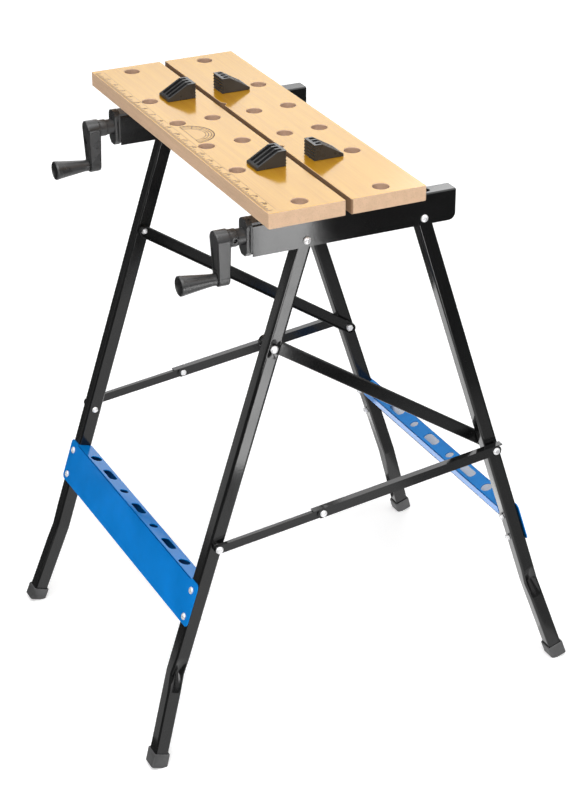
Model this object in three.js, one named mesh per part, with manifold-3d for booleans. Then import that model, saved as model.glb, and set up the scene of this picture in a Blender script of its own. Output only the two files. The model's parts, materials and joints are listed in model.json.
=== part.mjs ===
// Folding workbench: a two-jaw clamping top on a folding steel stand with two tool trays.
// Millimetres. X runs along the jaws, -Y is the crank side and +Z is up.
// The origin is on the floor, midway between the front and the rear feet.
import * as THREE from "three";
import { mergeVertices } from "three/addons/utils/BufferGeometryUtils.js";
import Module from "manifold-3d";

const wasm = await Module();
wasm.setup();

// Fits
const CLEAR = 0.3; // between pieces that touch or turn on each other
const SIDE_PLAY = 0.4; // leg to channel wall, each side
const FACETS = 16; // round a bore or a boss

// Worktop
const TOP_HEIGHT = 755;
const TOP_Y = -58.5; // middle of the jaw gap
const JAW_LENGTH = 555;
const JAW_WIDTH = 99;
const JAW_THICK = 19;
const JAW_GAP = 7;
const JAW_CORNER = 2;
const HOLE = 20; // dog holes
const HOLE_PITCH = 90;
const HOLE_ROW = 24; // rows from the jaw's middle
const HOLE_END = 22; // outermost hole from the jaw's end
const NOTCH_X = 86; // grooves in the rear jaw that hold a round bar upright
const NOTCH_WIDTH = 13;
const NOTCH_DEPTH = 5;

// Bench dogs
const DOG_LENGTH = 39.5;
const DOG_WIDTH = 29.5;
const DOG_HEIGHT = 20;
const DOG_TOE = 3.5;
const DOG_CREST = 11; // flat top behind the gripping face
const DOG_HEEL = 10.5; // gripping face from the peg's axis
const DOG_RIB = 3.2;
const DOG_FLOOR = 3;
const DOG_TEETH = 5;
const DOG_TOOTH = 1.2;
const PEG_LENGTH = 16;

// Channels
const CHANNEL_X = 206.5;
const CHANNEL_HEIGHT = 40;
const CHANNEL_WALL = 1.2;
const CHANNEL_ROUND = 2.4;
const CHANNEL_FRONT = 95; // ends, from the jaw gap
const CHANNEL_REAR = 177;
const CHANNEL_TAIL = 9; // radius of the lower rear corner
const SLOT_WIDTH = 11;
const SLOT_FRONT = 26; // ends, from the jaw gap
const SLOT_REAR = 146;
const JAW_LIFT = 18.5; // space under the jaws
const PIVOT_RISE = 8.5; // leg bolts above the channel's lower edge
const PIVOT_FRONT = 24.5; // leg bolts from the jaw gap
const PIVOT_REAR = 134;

// Clamp
const SCREW_RISE = 24.5; // screw axis above the channel's lower edge
const SCREW = 8;
const SCREW_TAIL = 157; // rear end, from the jaw gap
const NUT_WIDTH = 13;
const NUT_HEIGHT = 12;
const NUT_LENGTH = 24;
const POST_WIDTH = 10;
const POST_LENGTH = 18;
const POST_TOP = 2.5; // post to jaw
const PAD_LENGTH = 64;
const PAD_ROUND = 4;
const BLOCK_FRONT = 80; // front jaw's blocks, from the jaw gap
const BLOCK_REAR = 18;
const BUSH_FLANGE = 8;
const BUSH_PLUG = 26;
const BUSH_HOOK = 12;
const BUSH_RISE = 6.5; // above the channel
const BUSH_CHAMFER = 6;
const BUSH_RECESS = 5;
const BUSH_RECESS_R = 12;
const COLLAR_R = 7;
const COLLAR = 4;

// Cranks
const SLEEVE_R = 9;
const SLEEVE = 20; // arm to end bush
const SLEEVE_FLARE = 10;
const CRANK_ARM = 49; // screw axis to grip axis
const CRANK_THICK = 15.5;
const HUB_R = 12.5;
const BOSS_R = 9.5;
const GRIP_LENGTH = 47.5;
const GRIP_BASE_R = 7.6;
const GRIP_END_R = 12.4;
const GRIP_WALL = 2;
const GRIP_CUP = 12; // depth of the hollow end
const SPIGOT_R = 3.6;
const SPIGOT_HEAD_R = 6;
const SPIGOT_HEAD = 2;

// Legs
const LEG = 19;
const LEG_WALL = 1.5;
const LEG_ROUND = 2.6;
const FOOT_X = 225.5;
const FOOT_Y = 299.5;
const KINK_HEIGHT = 120;
const CRIMP_LENGTH = 56;
const CRIMP_DEPTH = 5;
const DIMPLE_LENGTH = 44;
const DIMPLE_DEPTH = 3;
const CAP = 23;
const CAP_HEIGHT = 18.5;
const CAP_ROUND = 3;
const CAP_FLOOR = 5;
const CAP_LAND = 8; // level strip that stands on the floor

// Bars and braces
const BAR_AT = 142; // bar bolt below the front leg's pivot
const BRACE_AT = 409.5; // brace bolt below the front leg's pivot
const FOLD_GAP = 8; // between the folded legs
const BAR_R = 8;
const BAR_DEPTH = 8;
const BAR_WALL = 1.5;
const BAR_STAND = 2.1; // bar to leg
const LONG_R = 7.5;
const LONG_WIDTH = 9;
const BRACE_WALL = 1.4;
const BRACE_STAND = 2.4; // brace to leg
const STOP_LENGTH = 13; // web of the long brace past the knee

// Trays
const TRAY_AT = 464; // top of the plate below the pivot
const TRAY_PLATE = 60;
const TRAY_HALF = 219;
const TRAY_SHEET = 1.2;
const TRAY_CORNER = 6;
const TRAY_LIP = 16;
const TRAY_PITCH = 51;
const TRAY_BIG = 16;
const TRAY_SMALL = 12;
const TRAY_SLOT = 31;
const TRAY_BOLTS = [13, 50]; // below the plate's top edge

// Fasteners
const BOLT = 6;
const HEAD_R = 4.9;
const HEAD = 3;
const TAIL_R = 4.2; // inner ends, riveted over
const TAIL = 2.2;
const SPACER_R = 5.6;
const NUT_R = 5.2;
const NUT = 4.5;
const TRAY_BOLT = 5;
const TRAY_HEAD_R = 4.6;
const TRAY_HEAD = 2.5;
const BOLT_FACETS = 8;

// Heights and places that follow
const channelTop = TOP_HEIGHT - JAW_THICK - JAW_LIFT;
const channelBase = channelTop - CHANNEL_HEIGHT;
const channelHalf = LEG / 2 + SIDE_PLAY + CHANNEL_WALL;
const channelInner = channelHalf - CHANNEL_WALL;
const channelStart = TOP_Y - CHANNEL_FRONT;
const channelEnd = TOP_Y + CHANNEL_REAR;
const screwZ = channelBase + SCREW_RISE;
const jawUnder = TOP_HEIGHT - JAW_THICK;
const legOut = CHANNEL_X + LEG / 2;
const legIn = CHANNEL_X - LEG / 2;
const boltHole = BOLT / 2 + CLEAR;
const yz = (y, z) => new THREE.Vector2(y, z);

// A leg's centre line in the YZ plane: at(s, n) lies s below its pivot and n to the outside.
function legLine(pivotY, footY) {
  const pivot = yz(pivotY, channelBase + PIVOT_RISE);
  const run = yz(footY, 0).sub(pivot);
  const length = run.length();
  const dir = run.clone().divideScalar(length);
  const normal = yz(-dir.y, dir.x).multiplyScalar(Math.sign(footY));
  const at = (s, n = 0) =>
    pivot.clone().addScaledVector(dir, s).addScaledVector(normal, n);
  const kink = length * (1 - KINK_HEIGHT / pivot.y);
  const splay = (FOOT_X - CHANNEL_X) / (length - kink);
  const xAt = (s) => CHANNEL_X + splay * Math.max(0, s - kink);
  const capEnd = (pivot.y + normal.y * (CAP_LAND - CAP / 2)) / -dir.y;
  return { pivot, length, dir, normal, at, kink, xAt, capEnd };
}
const front = legLine(TOP_Y - PIVOT_FRONT, -FOOT_Y);
const rear = legLine(TOP_Y + PIVOT_REAR, FOOT_Y);

// Folded, the legs lie side by side. The bar and the brace are as long as that needs.
const spread = PIVOT_FRONT + PIVOT_REAR;
const foldOffset = LEG + FOLD_GAP;
const foldRun = Math.sqrt(spread ** 2 - foldOffset ** 2);
const barFront = front.at(BAR_AT);
const toBar = barFront.clone().sub(rear.pivot);
const barRun = foldRun - BAR_AT;
const rearAt =
  (toBar.lengthSq() - barRun ** 2 - foldOffset ** 2) /
  (2 * (barRun + toBar.dot(rear.dir)));
const barRear = rear.at(rearAt);
const braceFront = front.at(BRACE_AT);
const braceSpan = barRear.distanceTo(braceFront);
const braceRun = foldRun + rearAt - BRACE_AT;
const shortLength =
  (braceSpan ** 2 - braceRun ** 2 - foldOffset ** 2) / (2 * (braceSpan + braceRun));
const knee = braceFront.clone().lerp(barRear, shortLength / braceSpan);

// Solids
function solid(geometry) {
  const bare = new THREE.BufferGeometry();
  bare.setAttribute("position", geometry.getAttribute("position"));
  if (geometry.index) bare.setIndex(geometry.index);
  const g = mergeVertices(bare, 1e-4);
  const p = g.getAttribute("position");
  const tris = [];
  let volume = 0;
  const corner = (i) => new THREE.Vector3().fromBufferAttribute(p, i);
  for (let i = 0; i < g.index.count; i += 3) {
    const [a, b, c] = [0, 1, 2].map((k) => g.index.getX(i + k));
    if (a === b || b === c || c === a) continue;
    volume += corner(a).dot(corner(b).cross(corner(c)));
    tris.push(a, b, c);
  }
  if (volume < 0) tris.reverse();
  return new wasm.Manifold(
    new wasm.Mesh({
      numProp: 3,
      vertProperties: new Float32Array(p.array),
      triVerts: new Uint32Array(tris),
    }),
  );
}

const AXES = {
  x: new THREE.Matrix4().set(0, 0, 1, 0, 1, 0, 0, 0, 0, 1, 0, 0, 0, 0, 0, 1),
  y: new THREE.Matrix4().set(1, 0, 0, 0, 0, 0, -1, 0, 0, 1, 0, 0, 0, 0, 0, 1),
  z: new THREE.Matrix4(),
};

// A profile pushed along an axis. Its plane is YZ for x, XZ for y and XY for z.
function push(axis, shape, from, to, curveSegments = FACETS / 4) {
  const [a, b] = axis === "y" ? [-to, -from] : [from, to];
  const g = new THREE.ExtrudeGeometry(shape, {
    depth: b - a,
    bevelEnabled: false,
    curveSegments,
  });
  g.translate(0, 0, a);
  g.applyMatrix4(AXES[axis]);
  return solid(g);
}

function box(x0, x1, y0, y1, z0, z1) {
  const g = new THREE.BoxGeometry(x1 - x0, y1 - y0, z1 - z0);
  g.translate((x0 + x1) / 2, (y0 + y1) / 2, (z0 + z1) / 2);
  return solid(g);
}

function circle(u, v, r) {
  return new THREE.Shape().absarc(u, v, r, 0, 2 * Math.PI, false);
}

const rod = (axis, u, v, r, from, to, facets = FACETS) =>
  push(axis, circle(u, v, r), from, to, facets / 2);

function rounded(u0, u1, v0, v1, r) {
  const s = new THREE.Shape();
  s.absarc(u1 - r, v0 + r, r, -Math.PI / 2, 0);
  s.absarc(u1 - r, v1 - r, r, 0, Math.PI / 2);
  s.absarc(u0 + r, v1 - r, r, Math.PI / 2, Math.PI);
  s.absarc(u0 + r, v0 + r, r, Math.PI, 1.5 * Math.PI);
  return s;
}

// Two round ends joined by their tangents.
function link(p, q, rp, rq = rp) {
  const along = q.clone().sub(p);
  const heading = along.angle();
  const open = Math.acos((rp - rq) / along.length());
  const s = new THREE.Shape();
  s.absarc(p.x, p.y, rp, heading + open, heading - open + 2 * Math.PI);
  s.absarc(q.x, q.y, rq, heading - open, heading + open);
  return s;
}

// A turned piece. Its profile holds [radius, distance along the axis] pairs.
function turn(profile, facets = FACETS) {
  const pts = profile.map(([r, h]) => new THREE.Vector2(r, h));
  return solid(new THREE.LatheGeometry(pts, facets));
}

// Moves a piece that was turned about Y so that its axis points along a direction.
function aim(body, to, x, y, z) {
  const spin = new THREE.Quaternion().setFromUnitVectors(
    new THREE.Vector3(0, 1, 0),
    to,
  );
  const m = new THREE.Matrix4().makeRotationFromQuaternion(spin);
  m.setPosition(x, y, z);
  return body.transform(m.elements);
}

// A skin through rings of equal count, closed by flat ends.
function loft(rings) {
  const n = rings[0].length;
  const pos = rings.flat().flatMap((p) => [p.x, p.y, p.z]);
  const idx = [];
  for (let i = 0; i + 1 < rings.length; i++)
    for (let j = 0; j < n; j++) {
      const [a, b] = [i * n + j, i * n + ((j + 1) % n)];
      idx.push(a, b, b + n, a, b + n, a + n);
    }
  const last = (rings.length - 1) * n;
  for (let j = 1; j + 1 < n; j++) {
    idx.push(0, j + 1, j);
    idx.push(last, last + j, last + j + 1);
  }
  const g = new THREE.BufferGeometry();
  g.setAttribute("position", new THREE.Float32BufferAttribute(pos, 3));
  g.setIndex(idx);
  return solid(g);
}

const join = (...bodies) => wasm.Manifold.union(bodies);
const mirror = (body) => body.mirror([1, 0, 0]);

// Scene graph
const part = new THREE.Group();
part.name = "folding_workbench";
const finish = (color, metalness, roughness) =>
  new THREE.MeshStandardMaterial({ color, metalness, roughness });
const WOOD = finish(0xe6cba4, 0, 0.55);
const BLACK_PAINT = finish(0x17181a, 0.2, 0.3);
const BLUE_PAINT = finish(0x0d6cc4, 0.2, 0.35);
const PLASTIC = finish(0x2c2d2f, 0, 0.6);
const RUBBER = finish(0x3c3d3f, 0, 0.8);
const ZINC = finish(0xc9ccd0, 0.9, 0.35);

function add(name, body, material) {
  const m = body.getMesh();
  const g = new THREE.BufferGeometry();
  g.setAttribute(
    "position",
    new THREE.BufferAttribute(new Float32Array(m.vertProperties), 3),
  );
  g.setIndex(new THREE.BufferAttribute(new Uint32Array(m.triVerts), 1));
  g.computeVertexNormals();
  const mesh = new THREE.Mesh(g, material);
  mesh.name = name;
  part.add(mesh);
}

// The piece as drawn is the right one, at +X.
function addPair(name, body, material) {
  add(name + "_left", mirror(body), material);
  add(name + "_right", body, material);
}

// Jaws
function jaw(side) {
  const inner = TOP_Y + (side * JAW_GAP) / 2;
  const outer = inner + side * JAW_WIDTH;
  const middle = (inner + outer) / 2;
  const half = JAW_LENGTH / 2;
  const board = rounded(
    -half,
    half,
    Math.min(inner, outer),
    Math.max(inner, outer),
    JAW_CORNER,
  );
  const [below, above] = [jawUnder - 1, TOP_HEIGHT + 1];
  const hole = (x, y) => rod("z", x, y, HOLE / 2, below, above);
  const endX = half - HOLE_END;
  const cuts = [hole(-endX, middle), hole(endX, middle)];
  for (const k of [-1.5, -0.5, 0.5, 1.5])
    for (const y of [middle - HOLE_ROW, middle + HOLE_ROW]) cuts.push(hole(k * HOLE_PITCH, y));
  if (side > 0)
    for (const x of [-NOTCH_X, NOTCH_X]) {
      const groove = new THREE.Shape([
        new THREE.Vector2(x - NOTCH_WIDTH, inner - NOTCH_DEPTH),
        new THREE.Vector2(x + NOTCH_WIDTH, inner - NOTCH_DEPTH),
        new THREE.Vector2(x, inner + NOTCH_DEPTH),
      ]);
      cuts.push(push("z", groove, below, above));
    }
  return push("z", board, jawUnder, TOP_HEIGHT, 2).subtract(join(...cuts));
}
add("jaw_front", jaw(-1), WOOD);
add("jaw_rear", jaw(1), WOOD);

// Bench dogs: a ribbed ramp with a toothed face on a round peg.
function dog(x, side) {
  const pegY = TOP_Y + side * (JAW_GAP / 2 + JAW_WIDTH / 2 - HOLE_ROW);
  const base = TOP_HEIGHT + CLEAR;
  const at = (u, h) => yz(pegY - side * (DOG_HEEL - u), base + h); // u from the gripping face
  const pitch = DOG_HEIGHT / DOG_TEETH;
  const face = [];
  for (let i = DOG_TEETH - 1; i >= 0; i--)
    face.push(at(0, (i + 1) * pitch), at(DOG_TOOTH, i * pitch + pitch * 0.35));
  const outline = [
    ...face,
    at(0, 0),
    at(DOG_LENGTH, 0),
    at(DOG_LENGTH, DOG_TOE),
    at(DOG_CREST, DOG_HEIGHT),
  ];
  const wedge = push("x", new THREE.Shape(outline), x - DOG_WIDTH / 2, x + DOG_WIDTH / 2);
  const deep = [
    at(DOG_RIB + DOG_TOOTH, DOG_FLOOR + DOG_TOE),
    at(DOG_LENGTH - DOG_RIB, DOG_FLOOR),
    at(DOG_LENGTH - DOG_RIB, DOG_HEIGHT + 1),
    at(DOG_RIB + DOG_TOOTH, DOG_HEIGHT + 1),
  ];
  const bay = (DOG_WIDTH - 4 * DOG_RIB) / 3;
  const bays = [0, 1, 2].map((i) => {
    const x0 = x - DOG_WIDTH / 2 + DOG_RIB + i * (bay + DOG_RIB);
    return push("x", new THREE.Shape(deep), x0, x0 + bay);
  });
  const pegEnd = TOP_HEIGHT - PEG_LENGTH;
  const peg = rod("z", x, pegY, HOLE / 2 - CLEAR, pegEnd, base + DOG_FLOOR / 2, 12);
  return wedge.subtract(join(...bays)).add(peg);
}
for (const [row, side] of [
  ["front", -1],
  ["rear", 1],
])
  for (const [end, k] of [
    ["left", -1.5],
    ["right", 1.5],
  ])
    add(`dog_${row}_${end}`, dog(k * HOLE_PITCH, side), PLASTIC);

// Channels: a folded inverted U, slotted on top, with its lower rear corner rounded.
function channel() {
  const h = channelHalf;
  const r = CHANNEL_ROUND;
  const ri = r - CHANNEL_WALL;
  const u = new THREE.Shape();
  u.moveTo(-h, channelBase);
  u.lineTo(-channelInner, channelBase);
  u.absarc(-h + r, channelTop - r, ri, Math.PI, Math.PI / 2, true);
  u.absarc(h - r, channelTop - r, ri, Math.PI / 2, 0, true);
  u.lineTo(channelInner, channelBase);
  u.lineTo(h, channelBase);
  u.absarc(h - r, channelTop - r, r, 0, Math.PI / 2);
  u.absarc(-h + r, channelTop - r, r, Math.PI / 2, Math.PI);
  const body = push("y", u, channelStart, channelEnd, 2);
  const side = new THREE.Shape();
  side.moveTo(channelStart - 1, channelBase - 1);
  side.lineTo(channelStart - 1, channelTop + 1);
  side.lineTo(channelEnd, channelTop + 1);
  const tail = CHANNEL_TAIL;
  side.lineTo(channelEnd, channelBase + tail);
  side.absarc(channelEnd - tail, channelBase + tail, tail, 0, -Math.PI / 2, true);
  side.lineTo(channelEnd - tail, channelBase - 1);
  const slot = link(
    new THREE.Vector2(0, TOP_Y + SLOT_FRONT + SLOT_WIDTH / 2),
    new THREE.Vector2(0, TOP_Y + SLOT_REAR - SLOT_WIDTH / 2),
    SLOT_WIDTH / 2,
  );
  const cuts = join(
    push("z", slot, channelTop - CHANNEL_WALL * 2, channelTop + 1),
    ...[front, rear].map((leg) =>
      rod("x", leg.pivot.x, leg.pivot.y, boltHole, -h - 1, h + 1, 8),
    ),
  );
  return body
    .intersect(push("x", side, -h - 1, h + 1, 3))
    .subtract(cuts)
    .translate([CHANNEL_X, 0, 0]);
}
addPair("channel", channel(), BLACK_PAINT);

// End bushes: a notched flange with a plug in the channel and a hook over it.
const bushFront = channelStart - BUSH_FLANGE;
const plugEnd = channelStart + BUSH_PLUG;
function endBush() {
  const h = channelHalf;
  const top = channelTop + BUSH_RISE;
  const c = BUSH_CHAMFER;
  const flange = new THREE.Shape();
  flange.moveTo(-h, channelBase + c);
  flange.lineTo(-h + c, channelBase);
  flange.lineTo(h - c, channelBase);
  flange.lineTo(h, channelBase + c);
  flange.absarc(h - c / 2, top - c / 2, c / 2, 0, Math.PI / 2);
  flange.absarc(-h + c / 2, top - c / 2, c / 2, Math.PI / 2, Math.PI);
  const inner = channelInner - CLEAR;
  const under = channelTop - CHANNEL_WALL - CLEAR;
  const back = channelStart - CLEAR;
  const plug = rounded(-inner, inner, channelBase + c / 2, under, CHANNEL_ROUND);
  const bush = join(
    push("y", flange, bushFront, back, 2),
    push("y", plug, back - 1, plugEnd, 1),
    box(-h, h, back - 1, channelStart + BUSH_HOOK, channelTop + CLEAR, top - c / 2),
  );
  const cuts = join(
    rod("y", 0, screwZ, SCREW / 2 + CLEAR, bushFront - 1, plugEnd + 1, 12),
    rod("y", 0, screwZ, BUSH_RECESS_R, bushFront - 1, bushFront + BUSH_RECESS),
  );
  return bush.subtract(cuts).translate([CHANNEL_X, 0, 0]);
}
addPair("end_bush", endBush(), PLASTIC);

// Cranks: arm, sleeve and grip spigot in one moulding, over the screw's front end.
const sleeveEnd = bushFront + BUSH_RECESS - CLEAR;
const armBack = bushFront - SLEEVE;
const armFront = armBack - CRANK_THICK;
const gripZ = screwZ - CRANK_ARM;
const gripBase = armFront - CLEAR;
const gripEnd = gripBase - GRIP_LENGTH;
const cupFloor = gripEnd + GRIP_CUP;
const along = new THREE.Vector3(0, 1, 0);
const across = new THREE.Vector3(1, 0, 0);
function crank() {
  const arm = push(
    "y",
    link(new THREE.Vector2(0, screwZ), new THREE.Vector2(0, gripZ), HUB_R, BOSS_R),
    armFront,
    armBack,
  );
  const sleeve = turn([
    [0, armFront + 1],
    [HUB_R - 1, armFront + 1],
    [HUB_R - 1, armBack],
    [SLEEVE_R + 2, armBack + 1],
    [SLEEVE_R + 2, armBack + SLEEVE_FLARE],
    [SLEEVE_R, armBack + SLEEVE_FLARE + 2],
    [SLEEVE_R, sleeveEnd],
    [0, sleeveEnd],
  ], 12);
  const spigot = turn([
    [0, cupFloor - CLEAR - SPIGOT_HEAD],
    [SPIGOT_HEAD_R, cupFloor - CLEAR - SPIGOT_HEAD],
    [SPIGOT_HEAD_R, cupFloor - CLEAR],
    [SPIGOT_R, cupFloor - CLEAR],
    [SPIGOT_R, armFront + 1],
    [0, armFront + 1],
  ], 12);
  const boreEnd = armFront + CRANK_THICK / 3;
  const bore = rod("y", 0, screwZ, SCREW / 2 + CLEAR, boreEnd, sleeveEnd + 1, 12);
  return join(arm, aim(sleeve, along, 0, 0, screwZ))
    .subtract(bore)
    .add(aim(spigot, along, 0, 0, gripZ))
    .translate([CHANNEL_X, 0, 0]);
}
addPair("crank", crank(), PLASTIC);

function grip() {
  const bore = SPIGOT_R + CLEAR;
  const rim = GRIP_END_R - GRIP_WALL;
  const body = turn([
    [bore, gripBase],
    [bore, cupFloor],
    [Math.max(SPIGOT_HEAD_R + 2 * CLEAR, rim - 2), cupFloor],
    [rim, gripEnd],
    [GRIP_END_R - 0.6, gripEnd],
    [GRIP_END_R, gripEnd + 1.2],
    [GRIP_END_R, gripEnd + 4],
    [GRIP_BASE_R, gripBase - 6],
    [GRIP_BASE_R, gripBase],
    [bore, gripBase],
  ]);
  return aim(body, along, CHANNEL_X, 0, gripZ);
}
addPair("grip", grip(), PLASTIC);

// Clamp screws, kept in place by a collar behind the bush.
function clampScrew() {
  const r = SCREW / 2;
  const head = armFront + CRANK_THICK / 3 + CLEAR;
  const tail = TOP_Y + SCREW_TAIL;
  const body = turn(
    [
      [0, head],
      [r, head],
      [r, plugEnd + CLEAR],
      [COLLAR_R, plugEnd + CLEAR],
      [COLLAR_R, plugEnd + CLEAR + COLLAR],
      [r, plugEnd + CLEAR + COLLAR],
      [r, tail - 1],
      [r - 1, tail],
      [0, tail],
    ],
    12,
  );
  return aim(body, along, CHANNEL_X, 0, screwZ);
}
addPair("clamp_screw", clampScrew(), ZINC);

// Supports under the jaws. The rear jaw's ride on the screws' nuts.
const rearJawY = TOP_Y + (JAW_GAP + JAW_WIDTH) / 2;
const seat = (y0, y1) =>
  push(
    "z",
    rounded(CHANNEL_X - channelHalf, CHANNEL_X + channelHalf, y0, y1, PAD_ROUND),
    channelTop + CLEAR,
    jawUnder - CLEAR,
    2,
  );
addPair("jaw_block", seat(TOP_Y - BLOCK_FRONT, TOP_Y - BLOCK_REAR), PLASTIC);

const postTop = jawUnder - POST_TOP;
const postX = POST_WIDTH / 2;
const postY = POST_LENGTH / 2;
const pocket = box(
  CHANNEL_X - postX - CLEAR,
  CHANNEL_X + postX + CLEAR,
  rearJawY - postY - CLEAR,
  rearJawY + postY + CLEAR,
  channelTop - 1,
  postTop + CLEAR,
);
const padHalf = PAD_LENGTH / 2;
addPair("jaw_pad", seat(rearJawY - padHalf, rearJawY + padHalf).subtract(pocket), PLASTIC);

function jawNut() {
  const block = box(
    CHANNEL_X - NUT_WIDTH / 2,
    CHANNEL_X + NUT_WIDTH / 2,
    rearJawY - NUT_LENGTH / 2,
    rearJawY + NUT_LENGTH / 2,
    screwZ - NUT_HEIGHT / 2,
    screwZ + NUT_HEIGHT / 2,
  );
  const post = box(
    CHANNEL_X - postX,
    CHANNEL_X + postX,
    rearJawY - postY,
    rearJawY + postY,
    screwZ,
    postTop,
  );
  const [start, end] = [rearJawY - NUT_LENGTH, rearJawY + NUT_LENGTH];
  const bore = rod("y", CHANNEL_X, screwZ, SCREW / 2 + CLEAR, start, end, 12);
  return join(block, post).subtract(bore);
}
addPair("jaw_nut", jawNut(), ZINC);

// Legs: square tube, splayed by a crimped kink near the floor and rounded at the pivot.
// A dent is [middle, length, depth] on the outer wall, measured along the leg.
function tube(leg, half, round, from, to, dents = []) {
  const inner = half - round;
  const corner = round ? [0, 0.25, 0.5] : [0.25];
  const section = [];
  [
    [1, 1],
    [-1, 1],
    [-1, -1],
    [1, -1],
  ].forEach(([su, sv], q) => {
    for (const a of corner) {
      const t = (a + q / 2) * Math.PI;
      section.push([su * inner + round * Math.cos(t), sv * inner + round * Math.sin(t)]);
    }
  });
  if (dents.length) for (const t of [-0.5, 0, 0.5]) section.push([half, t * inner]);
  const stations = [from, to, leg.kink];
  for (const [at, length] of dents)
    for (const t of [-0.5, -0.22, 0, 0.22, 0.5]) stations.push(at + t * length);
  const rings = [...new Set(stations)]
    .filter((s) => s >= from && s <= to)
    .sort((a, b) => a - b)
    .map((s) => {
      let dent = 0;
      for (const [at, length, depth] of dents)
        if (Math.abs(s - at) < length / 2) dent += depth * Math.cos((Math.PI * (s - at)) / length);
      return section.map(([u, v]) => {
        const onFace = u === half && Math.abs(v) < inner;
        const sink = onFace ? dent * (1 - (v / inner) ** 2) : 0;
        const p = leg.at(s, v);
        return new THREE.Vector3(leg.xAt(s) + u - sink, p.x, p.y);
      });
    });
  return loft(rings);
}

const reach = 2 * LEG;
function legTube(leg, bolts, dents) {
  const half = LEG / 2;
  const end = leg.capEnd - CAP_FLOOR - CLEAR;
  const outer = tube(leg, half, LEG_ROUND, -reach, end, dents);
  const hollow = tube(leg, half - LEG_WALL, 0, -reach - 1, end + 1, dents);
  const side = push("x", link(leg.pivot, leg.at(end * 2), half), legIn - reach, FOOT_X + reach);
  const cuts = bolts.map((p) => rod("x", p.x, p.y, boltHole, legIn - 1, legOut + 1, 8));
  for (const s of TRAY_BOLTS)
    cuts.push(traySpan(leg, TRAY_AT + s, TRAY_BOLT / 2 + CLEAR, -LEG, LEG));
  return outer.subtract(hollow).intersect(side).subtract(join(...cuts));
}

// A round bar square to a leg's face, between two distances to the outside.
function traySpan(leg, s, r, from, to) {
  const p = leg.at(s);
  const bar = turn([[0, from], [r, from], [r, to], [0, to]], 8);
  return aim(bar, new THREE.Vector3(0, leg.normal.x, leg.normal.y), CHANNEL_X, p.x, p.y);
}

const crimp = (leg) => [leg.kink, CRIMP_LENGTH, CRIMP_DEPTH];
const dimple = [BAR_AT, DIMPLE_LENGTH, DIMPLE_DEPTH];
const frontBolts = [front.pivot, barFront, braceFront];
addPair("leg_front", legTube(front, frontBolts, [dimple, crimp(front)]), BLACK_PAINT);
addPair("leg_rear", legTube(rear, [rear.pivot, barRear], [crimp(rear)]), BLACK_PAINT);

// Feet: caps over the tube ends, cut square, with a level strip along the inner edge.
function foot(leg) {
  const start = leg.capEnd - CAP_HEIGHT;
  const big = 4 * CAP;
  const above = box(FOOT_X - big, FOOT_X + big, -2 * FOOT_Y, 2 * FOOT_Y, 0, big);
  const outer = tube(leg, CAP / 2, CAP_ROUND, start, leg.capEnd).intersect(above);
  const socket = tube(leg, LEG / 2 + CLEAR, 0, start - 1, leg.capEnd - CAP_FLOOR);
  return outer.subtract(socket);
}
addPair("foot_front", foot(front), RUBBER);
addPair("foot_rear", foot(rear), RUBBER);

// Tool trays: one sheet folded square twice, into a plate on the legs, a holed shelf and a lip.
function tray(leg) {
  const side = Math.sign(leg.normal.x);
  const t = TRAY_SHEET;
  const seatN = LEG / 2 + CLEAR;
  const plateShape = rounded(-TRAY_HALF, TRAY_HALF, -TRAY_PLATE, -t / 2, TRAY_CORNER);
  const flat = new THREE.Matrix4().makeBasis(
    new THREE.Vector3(side, 0, 0),
    new THREE.Vector3(0, -leg.dir.x, -leg.dir.y),
    new THREE.Vector3(0, leg.normal.x, leg.normal.y),
  );
  const corner = leg.at(TRAY_AT, seatN);
  flat.setPosition(0, corner.x, corner.y);
  const plate = push("z", plateShape, 0, t, 2).transform(flat.elements);

  // The bend starts inside the plate's thickness, so its edge is eased.
  const [bendIn, bendOut] = [seatN + t / 4, seatN + t * 0.75];
  const back = -LEG / 2;
  const sheet = new THREE.Shape([
    leg.at(TRAY_AT, bendOut),
    leg.at(TRAY_AT + t * 2, bendOut),
    leg.at(TRAY_AT + t * 2, bendIn),
    leg.at(TRAY_AT + t, bendIn),
    leg.at(TRAY_AT + t, back + t),
    leg.at(TRAY_AT + TRAY_LIP, back + t),
    leg.at(TRAY_AT + TRAY_LIP, back),
    leg.at(TRAY_AT, back),
  ]);
  const half = legIn - 2 * CLEAR;
  const shelf = push("x", sheet, -half, half);
  const through = new THREE.Matrix4().makeBasis(
    new THREE.Vector3(-side, 0, 0),
    new THREE.Vector3(0, leg.normal.x, leg.normal.y),
    new THREE.Vector3(0, leg.dir.x, leg.dir.y),
  );
  const middle = leg.at(TRAY_AT, (bendOut + back) / 2);
  through.setPosition(0, middle.x, middle.y);
  const holes = [-3, -2, -1, 0, 1, 2, 3].map((k) => {
    const x = k * TRAY_PITCH;
    const oblong = k % 2 === 0;
    const r = (Math.abs(k) === 3 ? TRAY_BIG : TRAY_SMALL) / 2;
    const run = oblong ? TRAY_SLOT / 2 - r : 0;
    const outline = oblong
      ? link(new THREE.Vector2(x - run, 0), new THREE.Vector2(x + run, 0), r)
      : circle(x, 0, r);
    return push("z", outline, -t, 2 * t, oblong ? 3 : 5).transform(through.elements);
  });
  const bolts = [CHANNEL_X, -CHANNEL_X].flatMap((x) =>
    TRAY_BOLTS.map((s) =>
      traySpan(leg, TRAY_AT + s, TRAY_BOLT / 2 + CLEAR, 0, LEG).translate([x - CHANNEL_X, 0, 0]),
    ),
  );
  return plate.add(shelf).subtract(join(...holes, ...bolts));
}
add("tray_front", tray(front), BLUE_PAINT);
add("tray_rear", tray(rear), BLUE_PAINT);

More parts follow.
